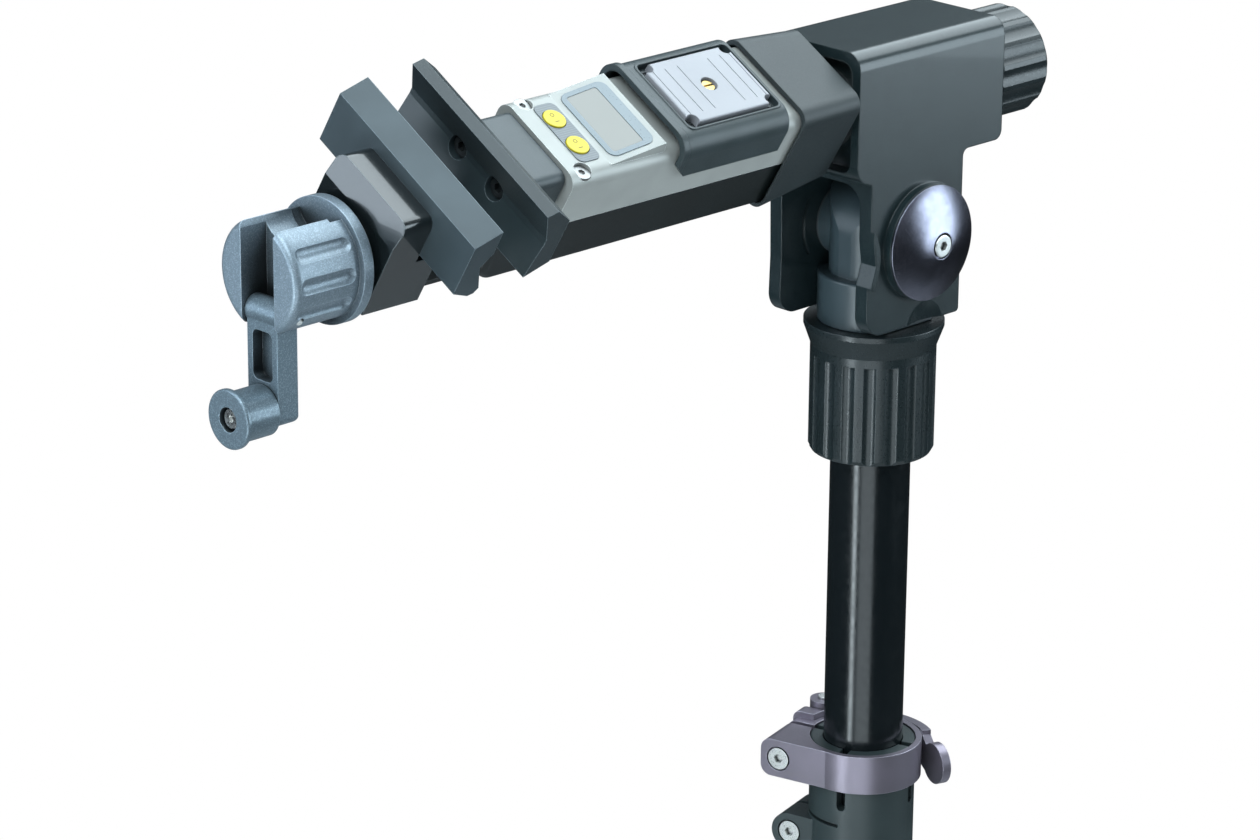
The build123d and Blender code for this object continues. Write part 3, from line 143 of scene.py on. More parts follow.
def object_place(material, turn=None, stretch=None):
    """Object coordinates, turned or stretched where that is asked."""
    place = add_node(material, "ShaderNodeTexCoord").outputs["Object"]
    for socket, value in (("Rotation", turn), ("Scale", stretch)):
        if value is not None:
            mapping = add_node(material, "ShaderNodeMapping")
            mapping.inputs[socket].default_value = value
            link(material, place, mapping.inputs["Vector"])
            place = mapping.outputs["Vector"]
    return place


def noise(material, place, scale, detail, roughness=0.5):
    """Soft noise with a number of cells in each metre."""
    node = add_node(material, "ShaderNodeTexNoise")
    node.inputs["Scale"].default_value = scale
    node.inputs["Detail"].default_value = detail
    node.inputs["Roughness"].default_value = roughness
    link(material, place, node.inputs["Vector"])
    return node.outputs["Fac"]


def spread(owner, value, source, target=(0.0, 1.0)):
    """Maps a value from one range to another, and holds it at the ends."""
    node = add_node(owner, "ShaderNodeMapRange")
    node.inputs["From Min"].default_value, node.inputs["From Max"].default_value = source
    node.inputs["To Min"].default_value, node.inputs["To Max"].default_value = target
    link(owner, value, node.inputs["Value"])
    return node.outputs["Result"]


def mix_color(material, factor, first, second):
    """Mixes two colours, each a plain colour or another node's output."""
    node = add_node(material, "ShaderNodeMix", data_type="RGBA")
    link(material, factor, node.inputs["Factor"])
    for index, value in ((6, first), (7, second)):
        if isinstance(value, bpy.types.NodeSocket):
            link(material, value, node.inputs[index])
        else:
            node.inputs[index].default_value = (*value, 1)
    return node.outputs[2]


def lifted(color, lift):
    """A colour with an amount added to each of its parts."""
    return tuple(part + more for part, more in zip(color, lift))


# Mask of the paler edges, which are partly wear and partly painted highlight
def edge_wear_and_highlight(material, radius):
    """One on the outer edges and zero on flat faces, from how far a rounded edge leans off its face."""
    bevel = add_node(material, "ShaderNodeBevel", samples=4)
    bevel.inputs["Radius"].default_value = radius
    geometry = add_node(material, "ShaderNodeNewGeometry")
    dot = add_node(material, "ShaderNodeVectorMath", operation="DOT_PRODUCT")
    link(material, bevel.outputs["Normal"], dot.inputs[0])
    link(material, geometry.outputs["Normal"], dot.inputs[1])
    return spread(material, dot.outputs["Value"], source=wear_and_highlight_range)


def shaded_in_hollows(material, color, reach):
    """Paints shade into a colour in sockets and narrow gaps, darker the less open a place is."""
    hollow = add_node(material, "ShaderNodeAmbientOcclusion", samples=8)
    hollow.inputs["Distance"].default_value = reach
    depth = spread(material, hollow.outputs["AO"], source=hollow_shade_range, target=(1.0, 0.0))
    return mix_color(material, depth, color, hollow_shade_color)


def uneven_gloss(material, grain, roughness, polish, haze):
    """Roughness that falls by the polish and rises by the haze along with a grain."""
    return spread(material, grain, source=grain_range, target=(roughness - polish, roughness + haze))


def shade(material, color, roughness, height, relief, rise, rounding):
    """Links colour, gloss and relief to the material's shader, with softly rounded edges."""
    shader = material.node_tree.nodes["Principled BSDF"]
    link(material, color, shader.inputs["Base Color"])
    link(material, roughness, shader.inputs["Roughness"])
    bevel = add_node(material, "ShaderNodeBevel", samples=6)
    bevel.inputs["Radius"].default_value = rounding
    normal = bevel.outputs["Normal"]
    if relief:
        bump = add_node(material, "ShaderNodeBump")
        bump.inputs["Strength"].default_value = relief
        bump.inputs["Distance"].default_value = rise
        link(material, height, bump.inputs["Height"])
        link(material, normal, bump.inputs["Normal"])
        normal = bump.outputs["Normal"]
    link(material, normal, shader.inputs["Normal"])


# Finishes

def grained(name, color, lift, roughness, grain, relief, rounding,
            metallic=0.0, coat=0.0, worn_and_lit=None, hollow_shade=0.0):
    """A finely grained finish: colour clouds, uneven gloss, a pebbled relief and edges paled by wear and
    painted highlight.
    """
    material = new_material(name, color, roughness, metallic, coat)
    place = object_place(material)
    fine = noise(material, place, grain, detail=4.0, roughness=0.6)
    broad = noise(material, place, grain / cloud_coarseness, detail=2.0)
    tint = mix_color(material, spread(material, broad, source=cloud_range), color, lifted(color, lift))
    # Paler outer edges: partly wear, partly painted highlight
    if worn_and_lit is not None:
        tint = mix_color(material, edge_wear_and_highlight(material, rounding * wear_and_highlight_width), tint, worn_and_lit)
    # Painted shade in sockets and narrow gaps, where a reach is given
    if hollow_shade:
        tint = shaded_in_hollows(material, tint, hollow_shade)
    gloss = uneven_gloss(material, fine, roughness, polish=0.05, haze=0.07)
    shade(material, tint, gloss, fine, relief=relief, rise=fine_relief, rounding=rounding)
    return material


def sparkling(name, color, lift, roughness, rounding, hollow_shade):
    """A cast finish under metallic paint: small bright flecks over a blue-grey ground."""
    material = new_material(name, color, roughness, metallic=0.55, coat=0.15)
    place = object_place(material)
    cells = add_node(material, "ShaderNodeTexVoronoi")
    cells.inputs["Scale"].default_value = fleck_cells
    link(material, place, cells.inputs["Vector"])
    fine = noise(material, place, cast_cells, detail=3.0)
    fleck = lifted(color, lift)
    # Brighter flecks on the outer edges: partly rubbing, partly painted highlight
    rubbed_and_glint = tuple(min(1, part * rubbed_and_glint_gain) for part in fleck)
    tint = mix_color(material, spread(material, cells.outputs["Color"], source=fleck_range), color, fleck)
    tint = mix_color(material, edge_wear_and_highlight(material, rounding), tint, rubbed_and_glint)
    # Painted shade in slots, sockets and narrow gaps
    tint = shaded_in_hollows(material, tint, hollow_shade)
    gloss = uneven_gloss(material, fine, roughness, polish=0.06, haze=0.08)
    shade(material, tint, gloss, fine, relief=0.18, rise=coarse_relief, rounding=rounding)
    return material


def brushed(name, color, lift, roughness, rounding, stretch=None):
    """Bare metal with fine scratches, drawn out along one direction where a stretch is given."""
    material = new_material(name, color, roughness, metallic=1.0)
    lines = noise(material, object_place(material, stretch=stretch), scratch_cells, detail=2.0)
    broad = noise(material, object_place(material), cloud_cells, detail=2.0)
    tint = mix_color(material, spread(material, broad, source=grain_range), color, lifted(color, lift))
    gloss = uneven_gloss(material, lines, roughness, polish=0.06, haze=0.08)
    shade(material, tint, gloss, lines, relief=0.08, rise=fine_relief, rounding=rounding)
    return material


def lined(name, color, groove, roughness, pitch, turn, relief, rounding):
    """Moulded plastic with fine straight lines at a pitch across one direction."""
    material = new_material(name, color, roughness, coat=0.1)
    place = object_place(material, turn=turn)
    split = add_node(material, "ShaderNodeSeparateXYZ")
    link(material, place, split.inputs["Vector"])
    wave = add_node(material, "ShaderNodeMath", operation="PINGPONG")
    wave.inputs[1].default_value = pitch / 2
    link(material, split.outputs["Y"], wave.inputs[0])
    line = spread(material, wave.outputs["Value"], source=(0.0, pitch * line_width), target=(1.0, 0.0))
    fine = noise(material, place, moulded_cells, detail=3.0)
    tint = mix_color(material, line, color, groove)
    gloss = uneven_gloss(material, fine, roughness, polish=0.05, haze=0.06)
    height = spread(material, line, source=(0.0, 1.0), target=(1.0, 0.0))
    shade(material, tint, gloss, height, relief=relief, rise=coarse_relief, rounding=rounding)
    return material


def dress(material, *names):
    """Gives CAD nodes a material."""
    for name in names:
        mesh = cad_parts[name].data
        mesh.materials.clear()
        mesh.materials.append(material)


# New pieces

def start_mesh(operator, **values):
    """Adds a primitive with nothing else selected and returns it."""
    bpy.ops.object.select_all(action="DESELECT")
    operator(**values)
    return bpy.context.object


def finish_piece(piece, name, body, material):
    """Bakes a piece's place into its mesh, and gives it a name, a material and a body."""
    piece.name = name
    piece.data.name = name
    bpy.ops.object.select_all(action="DESELECT")
    piece.select_set(True)
    bpy.context.view_layer.objects.active = piece
    bpy.ops.object.transform_apply(location=True, rotation=True, scale=True)
    piece.data.materials.clear()
    piece.data.materials.append(material)
    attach(piece, body)


def arm_matrix():
    """The arm's own frame: X along the arm, Z out of its top."""
    return Matrix.Translation((0, 0, arm_axis_height)) @ Matrix.Rotation(arm_roll, 4, "X")


def level_box(node):
    """Low and high corners of a CAD node in the arm's own frame."""
    back = arm_matrix().inverted()
    places = [back @ vertex.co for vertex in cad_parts[node].data.vertices]
    low = Vector([min(place[axis] for place in places) for axis in range(3)])
    high = Vector([max(place[axis] for place in places) for axis in range(3)])
    return low, high


def select_verts(piece, choose):
    """Selects the vertices of a piece that a test on their places picks, and opens it in edit mode."""
    bpy.ops.object.mode_set(mode="EDIT")
    bpy.ops.mesh.select_all(action="DESELECT")
    bpy.ops.object.mode_set(mode="OBJECT")
    for vertex in piece.data.vertices:
        vertex.select = choose(vertex.co)
    bpy.ops.object.mode_set(mode="EDIT")


def resize_verts(piece, value, choose=lambda place: True):
    """Resizes the vertices of a piece that a test on their places picks, or else all of them."""
    select_verts(piece, choose)
    bpy.ops.transform.resize(value=value)
    bpy.ops.object.mode_set(mode="OBJECT")


def bevel_edges(piece, width, **values):
    """Rounds a piece's edges with a small bevel."""
    bevel = piece.modifiers.new("bevel", "BEVEL")
    bevel.width = width
    bevel.segments = 2
    for key, value in values.items():
        setattr(bevel, key, value)
    bpy.ops.object.modifier_apply(modifier="bevel")


def join(pieces):
    """Joins pieces into the first one."""
    bpy.ops.object.select_all(action="DESELECT")
    for piece in pieces:
        piece.select_set(True)
    bpy.context.view_layer.objects.active = pieces[0]
    bpy.ops.object.join()
    return pieces[0]


def thread_turns(length, radius, depth, pitch):
    """A helical ridge along X: a small trapezoid swept by the screw modifier."""
    ridge = start_mesh(bpy.ops.mesh.primitive_plane_add, size=1)
    select_verts(ridge, lambda place: True)
    bpy.ops.mesh.delete(type="ONLY_FACE")
    bpy.ops.object.mode_set(mode="OBJECT")
    resize_verts(ridge, (pitch * thread_foot, depth, 1))
    resize_verts(ridge, (thread_crest, 1, 1), lambda place: place.y > 0)
    select_verts(ridge, lambda place: True)
    bpy.ops.transform.translate(value=(-length / 2, radius - depth / 2, 0))
    bpy.ops.object.mode_set(mode="OBJECT")
    screw = ridge.modifiers.new("screw", "SCREW")
    screw.axis = "X"
    screw.angle = 2 * math.pi
    screw.screw_offset = pitch
    screw.iterations = int(length / pitch)
    screw.steps = thread_steps
    screw.render_steps = thread_steps
    screw.use_merge_vertices = False
    bpy.ops.object.modifier_apply(modifier="screw")
    return ridge


def threaded_rod(node, radius, depth, pitch):
    """A rod in a CAD node's place with a thread that stops a pitch before each end."""
    low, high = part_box(node)
    length = high.x - low.x
    core_radius = radius - depth * thread_sink
    core = start_mesh(bpy.ops.mesh.primitive_cylinder_add, vertices=40, radius=core_radius, depth=length,
                      rotation=(0, math.pi / 2, 0))
    bpy.ops.object.transform_apply(rotation=True)
    bevel_edges(core, radius * rod_chamfer, limit_method="ANGLE")
    rod = join([core, thread_turns(length - 2 * pitch, radius, depth, pitch)])
    bpy.ops.object.mode_set(mode="EDIT")
    bpy.ops.mesh.select_all(action="SELECT")
    bpy.ops.mesh.normals_make_consistent(inside=False)
    bpy.ops.object.mode_set(mode="OBJECT")
    bpy.ops.object.shade_smooth_by_angle(angle=math.radians(35))
    rod.location = (low + high) / 2
    return rod


def round_mark(radius, width, rise):
    """A flat ring that stands out a little, around Z."""
    ring = start_mesh(bpy.ops.mesh.primitive_torus_add, major_radius=radius, minor_radius=width / 2,
                      major_segments=40, minor_segments=8)
    resize_verts(ring, (1, 1, rise / width))
    bpy.ops.object.shade_smooth()
    return ring


def bar_mark(length, width, rise):
    """A small rounded bar, flat along X and Y."""
    bar = start_mesh(bpy.ops.mesh.primitive_cube_add, size=1)
    resize_verts(bar, (length, width, rise))
    bevel_edges(bar, min(width, rise) * 0.3)
    return bar


# Settings

class RepairStandSettings(bpy.types.PropertyGroup):
    """Sizes and colours that the panel shows"""
    light_power: bpy.props.FloatProperty(
        name="Light power", description="Power of the key light", default=34.0, unit="POWER")
    floor_shade: bpy.props.FloatProperty(
        name="Floor shade", description="How pale the floor is", default=0.82, subtype="FACTOR", min=0, max=1)
    floor_reach: bpy.props.FloatProperty(
        name="Floor reach", description="Half the width of the floor", default=12.0, unit="LENGTH")
    edge_round: bpy.props.FloatProperty(
        name="Edge rounding", description="Radius of the soft edges in the shading", default=0.5 * mm,
        unit="LENGTH")
    thread_radius: bpy.props.FloatProperty(
        name="Thread radius", description="Radius of the spindle over its thread", default=4.45 * mm,
        unit="LENGTH")
    thread_depth: bpy.props.FloatProperty(
        name="Thread depth", description="Depth of the spindle's thread", default=0.8 * mm, unit="LENGTH")
    thread_pitch: bpy.props.FloatProperty(
        name="Thread pitch", description="Distance between the spindle's threads", default=5.0 * mm,
        unit="LENGTH")
    post_color: bpy.props.FloatVectorProperty(
        name="Post", description="Paint of the post and the legs", default=(0.009, 0.012, 0.013),
        subtype="COLOR", size=3, min=0, max=1)
    collar_color: bpy.props.FloatVectorProperty(
        name="Collar", description="Anodising of the quick-release collar and its lever",
        default=(0.19, 0.17, 0.2), subtype="COLOR", size=3, min=0, max=1)
    head_color: bpy.props.FloatVectorProperty(
        name="Head", description="Paint of the head casting", default=(0.008, 0.015, 0.017),
        subtype="COLOR", size=3, min=0, max=1)
    dome_color: bpy.props.FloatVectorProperty(
        name="Dome", description="Anodising of the pivot dome", default=(0.24, 0.24, 0.3),
        subtype="COLOR", size=3, min=0, max=1)
    housing_color: bpy.props.FloatVectorProperty(
        name="Housing", description="Silver of the scale housing", default=(0.285, 0.292, 0.278),
        subtype="COLOR", size=3, min=0, max=1)
    button_color: bpy.props.FloatVectorProperty(
        name="Buttons", description="Rubber of the two buttons", default=(0.5, 0.4, 0.012),
        subtype="COLOR", size=3, min=0, max=1)
    cover_color: bpy.props.FloatVectorProperty(
        name="Saddle cover", description="Plastic of the saddle cover", default=(0.02, 0.03, 0.032),
        subtype="COLOR", size=3, min=0, max=1)
    lid_color: bpy.props.FloatVectorProperty(
        name="Battery lid", description="Plastic of the battery lid", default=(0.265, 0.265, 0.285),
        subtype="COLOR", size=3, min=0, max=1)
    knob_color: bpy.props.FloatVectorProperty(
        name="Crank knob", description="Ground of the crank knob's metallic paint",
        default=(0.16, 0.205, 0.242), subtype="COLOR", size=3, min=0, max=1)
    crank_color: bpy.props.FloatVectorProperty(
        name="Crank arm", description="Ground of the crank arm's and handle's metallic paint",
        default=(0.115, 0.155, 0.185), subtype="COLOR", size=3, min=0, max=1)


# Operators

class StageOperator(bpy.types.Operator):
    """Sets up the floor, the soft lights, the background and the photograph's camera"""
    bl_idname = "repair_stand.stage"
    bl_label = "Stage"

    def execute(self, context):
        settings = context.scene.repair_stand
        context.scene.view_settings.view_transform = "Standard"
        self.make_camera(context.scene)
        self.make_floor(settings)
        self.make_world(context.scene)
        self.make_lights(context.scene, settings.light_power)
        return {"FINISHED"}

    def make_camera(self, scene):
        """The photograph's camera: it looks along forward, and its roll turns the picture's right side."""
        data = bpy.data.cameras.new("photo_camera")
        data.lens = camera_lens
        data.sensor_width = sensor_width
        data.clip_end = camera_reach
        camera = bpy.data.objects.new("photo_camera", data)
        scene.collection.objects.link(camera)
        azimuth, down, roll = (math.radians(angle) for angle in (camera_azimuth, camera_down, camera_roll))
        forward = Vector((math.sin(azimuth) * math.cos(down), math.cos(azimuth) * math.cos(down),
                          -math.sin(down)))
        level = Vector((math.cos(azimuth), -math.sin(azimuth), 0))
        drop = forward.cross(level)
        right = level * math.cos(roll) + drop * math.sin(roll)
        fall = drop * math.cos(roll) - level * math.sin(roll)
        turn = Matrix((right, -fall, -forward)).transposed()
        camera.matrix_world = Matrix.Translation(camera_place) @ turn.to_4x4()
        scene.camera = camera

    def make_floor(self, settings):
        """A pale floor that turns white to the camera further out, and darker to glossy pieces."""
        floor = start_mesh(bpy.ops.mesh.primitive_plane_add, size=2 * settings.floor_reach)
        floor.name = "floor"
        material = new_material("studio_floor", (settings.floor_shade,) * 3, roughness=0.9)
        nodes = material.node_tree.nodes
        paths = add_node(material, "ShaderNodeLightPath")
        middle = add_node(material, "ShaderNodeVectorMath", operation="LENGTH")
        link(material, object_place(material), middle.inputs[0])
        distance = middle.outputs["Value"]
        far = spread(material, distance, source=(0.9, 1.5))
        outer = spread(material, distance, source=(0.4, 1.4), target=(0.6, 0.96))
        surface = nodes["Principled BSDF"].outputs["BSDF"]
        surface = self.add_glow(material, surface, far, paths.outputs["Is Camera Ray"], (1, 1, 1))
        surface = self.add_glow(material, surface, outer, paths.outputs["Is Glossy Ray"], (0, 0, 0))
        link(material, surface, nodes["Material Output"].inputs["Surface"])
        floor.data.materials.append(material)

    def add_glow(self, material, surface, share, rays, color):
        """Mixes an even glow over a surface by a share, for one kind of rays."""
        seen = add_node(material, "ShaderNodeMath", operation="MULTIPLY")
        link(material, share, seen.inputs[0])
        link(material, rays, seen.inputs[1])
        glow = add_node(material, "ShaderNodeEmission")
        glow.inputs["Color"].default_value = (*color, 1)
        mix = add_node(material, "ShaderNodeMixShader")
        link(material, seen.outputs["Value"], mix.inputs["Fac"])
        link(material, surface, mix.inputs[1])
        link(material, glow.outputs["Emission"], mix.inputs[2])
        return mix.outputs["Shader"]

    def make_world(self, scene):
        """A pale blue sky that is brighter higher up, and plain white to the camera."""
        world = bpy.data.worlds.new("studio_world")
        scene.world = world
        world.use_nodes = True
        nodes = world.node_tree.nodes
        sky = nodes["Background"]
        sky.inputs["Color"].default_value = (*sky_color, 1)
        split = add_node(world, "ShaderNodeSeparateXYZ")
        link(world, add_node(world, "ShaderNodeTexCoord").outputs["Generated"], split.inputs["Vector"])
        link(world, spread(world, split.outputs["Z"], source=(0.1, 0.9), target=(0.1, 0.6)),
             sky.inputs["Strength"])
        white = add_node(world, "ShaderNodeBackground")
        white.inputs["Color"].default_value = (1, 1, 1, 1)
        paths = add_node(world, "ShaderNodeLightPath")
        mix = add_node(world, "ShaderNodeMixShader")
        link(world, paths.outputs["Is Camera Ray"], mix.inputs["Fac"])
        link(world, sky.outputs["Background"], mix.inputs[1])
        link(world, white.outputs["Background"], mix.inputs[2])
        link(world, mix.outputs["Shader"], nodes["World Output"].inputs["Surface"])

    def make_lights(self, scene, power):
        """Soft panels that face the arm or the mast."""
        arm = Vector((-0.25, 0, 1.1))
        mast = Vector((0, 0, 0.85))
        # Name, place, target, width, height, share of the power, colour
        lights = (
            ("key_light", (-1.35, -0.4, 2.5), arm, 1.2, 1.2, 1.0, cool_white),
            ("top_panel", (0.85, 0.05, 2.3), arm, 1.5, 1.5, 0.9, cool_white),
            ("overhead", (-0.35, -0.1, 2.9), arm, 1.1, 1.1, 0.5, cool_white),
            ("left_panel", (-1.6, 0.75, 1.4), arm, 0.8, 1.1, 0.45, cold_white),
            ("right_panel", (1.25, -1.4, 1.2), mast, 1.2, 1.2, 0.75, cooler_white),
            ("left_strip", (-1.7, -0.1, 0.5), mast, 0.3, 1.1, 0.36, cool_white),
            ("front_panel", (-1.15, -0.9, 0.4), mast, 1.0, 0.8, 0.19, cool_white),
        )
        for name, place, target, width, height, share, color in lights:
            data = bpy.data.lights.new(name, "AREA")
            data.shape = "RECTANGLE"
            data.size = width
            data.size_y = height
            data.energy = power * share
            data.color = color
            lamp = bpy.data.objects.new(name, data)
            scene.collection.objects.link(lamp)
            lamp.location = place
            lamp.rotation_euler = (target - Vector(place)).to_track_quat("-Z", "Y").to_euler()
            lamp.visible_camera = False


class StandOperator(bpy.types.Operator):
    """Finishes the post, the mast, the sleeve, the collar, the tripod and all steel parts"""
    bl_idname = "repair_stand.stand"
    bl_label = "Stand"

    def execute(self, context):
        settings = context.scene.repair_stand
        edge = settings.edge_round
        tube = grained("post_paint", color=settings.post_color, lift=(0.003, 0.004, 0.005), roughness=0.28,
                       grain=500, relief=0.04, rounding=edge, coat=0.3)
        dress(tube, "post_tube", "leg_1", "leg_2", "leg_3")
        gloss = grained("mast_anodised", color=(0.003, 0.005, 0.006), lift=(0.002, 0.002, 0.002),
                        roughness=0.2, grain=300, relief=0.001, rounding=edge)
        dress(gloss, "mast_tube")
        cast = grained("sleeve_paint", color=(0.017, 0.026, 0.027), lift=(0.005, 0.006, 0.006),
                       roughness=0.42, grain=1400, relief=0.1, rounding=edge)
        dress(cast, "top_sleeve", "leg_hub")
        violet = grained("collar_anodised", color=settings.collar_color, lift=(0.035, 0.028, 0.04),
                         roughness=0.36, grain=1600, relief=0.07, rounding=edge, metallic=0.75,
                         worn_and_lit=(0.55, 0.52, 0.6))
        dress(violet, "quick_release_collar", "quick_release_lever", "cam_saddle")
        # Painted shade in the sockets of the screw heads
        steel = grained("screw_steel", color=(0.8, 0.8, 0.78), lift=(-0.06, -0.06, -0.06), roughness=0.3,
                        grain=2600, relief=0.02, rounding=edge * 0.6, metallic=0.9, hollow_shade=2.2 * mm)
        dress(steel, "pinch_bolts", "clamp_bolt", "cam_pin", "leg_pivot_bolts",
              "pivot_bolt", "pivot_nut", "crank_hinge_pin", "arm_shaft", "spindle")
        rod = threaded_rod("spindle", settings.thread_radius, settings.thread_depth, settings.thread_pitch)
        finish_piece(rod, "spindle_thread", "crank", steel)
        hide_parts("spindle")
        rubber = grained("tread_rubber", color=(0.016, 0.016, 0.016), lift=(0.008, 0.008, 0.008),
                         roughness=0.75, grain=900, relief=0.3, rounding=edge)
        dress(rubber, "post_foot", "leg_foot_1", "leg_foot_2", "leg_foot_3")
        bush = grained("bush_nylon", color=(0.03, 0.034, 0.036), lift=(0.01, 0.011, 0.011),
                       roughness=0.5, grain=900, relief=0.08, rounding=edge)
        dress(bush, "mast_bushing", "pivot_washers", "shaft_bushes")
        return {"FINISHED"}


class HeadOperator(bpy.types.Operator):
    """Finishes the head, the neck, the pivot dome and the two fluted knobs"""
    bl_idname = "repair_stand.head"
    bl_label = "Head"

    def execute(self, context):
        settings = context.scene.repair_stand
        edge = settings.edge_round
        paint = grained("head_paint", color=settings.head_color, lift=(0.003, 0.004, 0.004), roughness=0.27,
                        grain=6000, relief=0.01, rounding=edge * 1.6, coat=0.15)
        dress(paint, "head")
        # Paler than the head's paint: a painted highlight on the dark neck
        lit_satin = grained("neck_paint_lit", color=(0.026, 0.04, 0.046), lift=(0.006, 0.007, 0.008),
                        roughness=0.34, grain=1500, relief=0.02, rounding=edge * 1.4)
        dress(lit_satin, "neck")
        # Painted shade in the knobs' grooves
        moulded = grained("knob_plastic", color=(0.008, 0.013, 0.014), lift=(0.003, 0.004, 0.005),
                          roughness=0.3, grain=1100, relief=0.005, rounding=edge * 1.2,
                          worn_and_lit=(0.05, 0.065, 0.07), hollow_shade=2.5 * mm)
        dress(moulded, "lock_ring", "rear_knob")
        dome = grained("dome_anodised", color=settings.dome_color, lift=(0.04, 0.04, 0.05), roughness=0.25,
                       grain=9000, relief=0.002, rounding=edge, metallic=1.0, worn_and_lit=(0.5, 0.5, 0.6))
        self.turn_on_lathe(dome)
        dress(dome, "pivot_dome")
        return {"FINISHED"}

    def turn_on_lathe(self, material):
        """Draws the highlights out around Y, as on a turned face."""
        shader = material.node_tree.nodes["Principled BSDF"]
        around = add_node(material, "ShaderNodeTangent", direction_type="RADIAL", axis="Y")
        shader.inputs["Anisotropic"].default_value = 0.8
        link(material, around.outputs["Tangent"], shader.inputs["Tangent"])


class ArmOperator(bpy.types.Operator):
    """Finishes the arm, its scale housing, the display, the buttons and the battery cover"""
    bl_idname = "repair_stand.arm"
    bl_label = "Arm"

    def execute(self, context):
        settings = context.scene.repair_stand
        self.finish_body(settings, settings.edge_round)
        self.finish_panel(settings, settings.edge_round)
        self.finish_inside(settings.edge_round)
        return {"FINISHED"}

    def finish_body(self, settings, edge):
        """The bracket, the beam, the housing, the saddle cover, the lid and their screws."""
        bracket = grained("bracket_paint", color=(0.013, 0.019, 0.021), lift=(0.004, 0.005, 0.005),
                          roughness=0.5, grain=1500, relief=0.12, rounding=edge * 1.6)
        dress(bracket, "arm_bracket")
        beam = grained("beam_anodised", color=(0.004, 0.006, 0.006), lift=(0.001, 0.002, 0.002),
                       roughness=0.36, grain=1800, relief=0.03, rounding=edge)
        dress(beam, "arm_beam", "guide_runner")
        silver = grained("housing_satin", color=settings.housing_color, lift=(0.025, 0.025, 0.024),
                         roughness=0.42, grain=2200, relief=0.05, rounding=edge, metallic=0.2,
                         worn_and_lit=(0.85, 0.87, 0.86))
        dress(silver, "scale_housing")
        # Painted shade in the screws' sockets
        black = grained("blackened_steel", color=(0.02, 0.024, 0.026), lift=(0.01, 0.01, 0.01),
                        roughness=0.4, grain=900, relief=0.05, rounding=edge * 0.4, metallic=0.5,
                        hollow_shade=4 * mm)
        dress(black, "lid_screws", "jaw_bolts")
        bright = brushed("screw_silver", color=(0.3, 0.3, 0.295), lift=(-0.06, -0.06, -0.055),
                         roughness=0.34, rounding=edge * 0.5)
        dress(bright, "housing_screws")
        cover = grained("cover_plastic", color=settings.cover_color, lift=(0.007, 0.008, 0.01),
                        roughness=0.42, grain=1700, relief=0.22, rounding=edge * 1.4)
        dress(cover, "saddle_cover")
        lid = grained("lid_plastic", color=settings.lid_color, lift=(0.02, 0.02, 0.02), roughness=0.42,
                      grain=900, relief=0.04, rounding=edge)
        dress(lid, "battery_lid")
        brass = brushed("turned_brass", color=(0.62, 0.45, 0.16), lift=(-0.12, -0.09, -0.03),
                        roughness=0.3, rounding=edge * 0.5)
        dress(brass, "lid_lock_screw", "spindle_nut")

    def finish_panel(self, settings, edge):
        """The striped panel, the buttons with their signs, and the display."""
        panel = lined("panel_stripes", color=(0.105, 0.12, 0.13), groove=(0.18, 0.195, 0.205),
                      roughness=0.42, pitch=1.2 * mm, turn=(-arm_roll, 0, 0), relief=0.1,
                      rounding=edge * 0.4)
        dress(panel, "button_panel")
        yellow = grained("button_rubber", color=settings.button_color, lift=(0.03, 0.03, 0.008),
                         roughness=0.45, grain=1500, relief=0.03, rounding=edge * 0.5)
        dress(yellow, "power_button", "unit_button")
        bezel = grained("bezel_plastic", color=(0.12, 0.155, 0.175), lift=(0.02, 0.02, 0.02),
                        roughness=0.3, grain=900, relief=0.02, rounding=edge * 0.5, coat=0.4)
        dress(bezel, "display_bezel")
        window = grained("window_glass", color=(0.15, 0.15, 0.135), lift=(0.04, 0.04, 0.035),
                         roughness=0.2, grain=60, relief=0.0, rounding=edge * 0.3, coat=0.4)
        dress(window, "display_window")
        ink = grained("key_ink", color=(0.1, 0.07, 0.02), lift=(0.04, 0.03, 0.01), roughness=0.5,
                      grain=900, relief=0.02, rounding=edge * 0.1)
        self.make_sign("power_button", ink)
        self.make_sign("unit_button", ink)

    def finish_inside(self, edge):
        """The circuit board, the battery and the load cell."""
        board = grained("board_lacquer", color=(0.02, 0.12, 0.04), lift=(0.01, 0.03, 0.01),
                        roughness=0.3, grain=700, relief=0.05, rounding=edge)
        dress(board, "circuit_board")
        wrap = grained("battery_sleeve", color=(0.04, 0.05, 0.18), lift=(0.01, 0.01, 0.04),
                       roughness=0.3, grain=300, relief=0.03, rounding=edge)
        dress(wrap, "battery")
        cell = brushed("cell_alloy", color=(0.6, 0.6, 0.61), lift=(-0.1, -0.1, -0.1), roughness=0.35,
                       rounding=edge, stretch=(1, 12, 12))
        dress(cell, "load_cell")

    def make_sign(self, node, ink):
        """A small ring and a bar printed on a key."""
        low, high = level_box(node)
        radius = (high.x - low.x) / 2
        rise = radius * sign_rise
        ring = round_mark(radius * ring_size, radius * ring_width, rise)
        bar = bar_mark(radius * bar_length, radius * bar_width, rise)
        centre = (low + high) / 2
        for piece, side in ((ring, 1), (bar, -1)):
            place = Vector((centre.x, centre.y + side * radius * sign_offset, high.z))
            piece.matrix_world = arm_matrix() @ Matrix.Translation(place)
        finish_piece(join([ring, bar]), node + "_sign", node, ink)


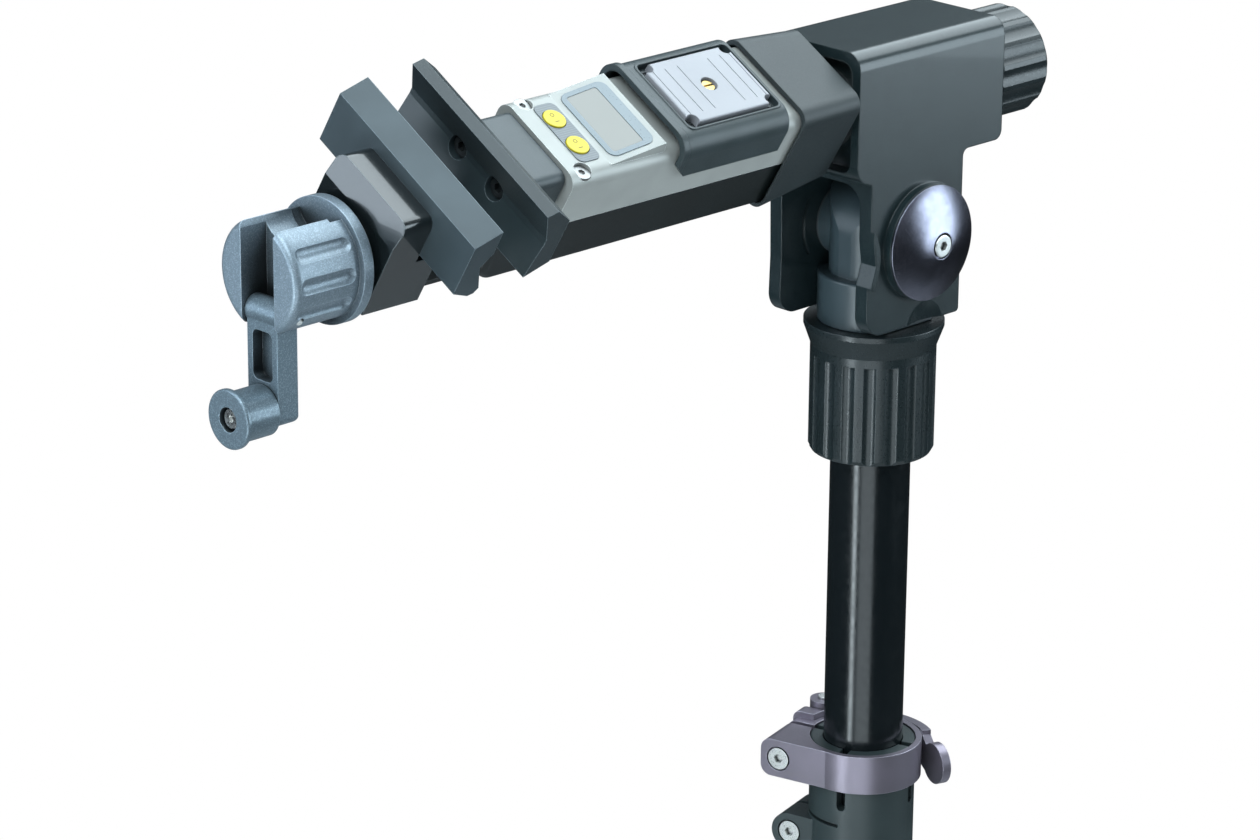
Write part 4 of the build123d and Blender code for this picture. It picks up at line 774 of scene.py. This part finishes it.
class ClampOperator(bpy.types.Operator):
    """Finishes the jaws, the front block and the jaw carrier"""
    bl_idname = "repair_stand.clamp"
    bl_label = "Clamp"

    def execute(self, context):
        edge = context.scene.repair_stand.edge_round
        jaw = grained("jaw_anodised", color=(0.032, 0.045, 0.052), lift=(0.008, 0.01, 0.011), roughness=0.4,
                      grain=1600, relief=0.06, rounding=edge, metallic=0.3, worn_and_lit=(0.2, 0.25, 0.28))
        dress(jaw, "front_jaw")
        # A darker copy of the front jaw's finish: painted shade on the rear jaw
        dark = grained("rear_jaw_shaded_anodised", color=(0.014, 0.021, 0.024), lift=(0.004, 0.006, 0.006),
                       roughness=0.4, grain=1600, relief=0.06, rounding=edge, worn_and_lit=(0.16, 0.2, 0.22))
        dress(dark, "rear_jaw")
        block = grained("block_paint", color=(0.032, 0.042, 0.046), lift=(0.008, 0.01, 0.011),
                        roughness=0.42, grain=1500, relief=0.2, rounding=edge * 1.4)
        dress(block, "front_block")
        carrier = grained("carrier_paint", color=(0.005, 0.007, 0.008), lift=(0.001, 0.002, 0.002),
                          roughness=0.2, grain=900, relief=0.01, rounding=edge * 1.6, coat=0.5,
                          worn_and_lit=(0.14, 0.17, 0.18))
        dress(carrier, "jaw_carrier")
        return {"FINISHED"}


class CrankOperator(bpy.types.Operator):
    """Finishes the crank's knob, its folding arm and the turning handle"""
    bl_idname = "repair_stand.crank"
    bl_label = "Crank"

    def execute(self, context):
        settings = context.scene.repair_stand
        edge = settings.edge_round
        # Painted shade deep in the knob's slot
        cast = sparkling("knob_cast", color=settings.knob_color, lift=(0.12, 0.13, 0.143), roughness=0.42,
                         rounding=edge * 1.4, hollow_shade=26 * mm)
        dress(cast, "crank_knob")
        # Painted shade in the arm's slot and hollows
        dark = sparkling("crank_arm_cast", color=settings.crank_color, lift=(0.105, 0.125, 0.135),
                         roughness=0.38, rounding=edge * 1.2, hollow_shade=16 * mm)
        dress(dark, "crank_arm", "crank_handle")
        steel = brushed("pan_head_steel", color=(0.75, 0.75, 0.73), lift=(-0.1, -0.1, -0.09),
                        roughness=0.28, rounding=edge * 0.5)
        dress(steel, "handle_screw")
        return {"FINISHED"}


class RepairStandPanel(bpy.types.Panel):
    """Settings, and a button for each group of pieces"""
    bl_label = "Repair Stand"
    bl_idname = "VIEW3D_PT_repair_stand"
    bl_space_type = "VIEW_3D"
    bl_region_type = "UI"
    bl_category = "Repair Stand"

    def draw(self, context):
        for name in RepairStandSettings.__annotations__:
            self.layout.prop(context.scene.repair_stand, name)
        for operator in OPERATORS:
            self.layout.operator(operator.bl_idname)


OPERATORS = (StandOperator, HeadOperator, ArmOperator, ClampOperator, CrankOperator, StageOperator)
CLASSES = (RepairStandSettings, *OPERATORS, RepairStandPanel)


def register():
    """Adds the classes and the settings to Blender."""
    for item in CLASSES:
        bpy.utils.register_class(item)
    bpy.types.Scene.repair_stand = bpy.props.PointerProperty(type=RepairStandSettings)


def unregister():
    """Takes them out again."""
    del bpy.types.Scene.repair_stand
    for item in reversed(CLASSES):
        bpy.utils.unregister_class(item)


def main():
    """Builds the whole scene."""
    register()
    bpy.ops.repair_stand.stand()
    bpy.ops.repair_stand.head()
    bpy.ops.repair_stand.arm()
    bpy.ops.repair_stand.clamp()
    bpy.ops.repair_stand.crank()
    bpy.ops.repair_stand.stage()


if __name__ == "__main__":
    main()
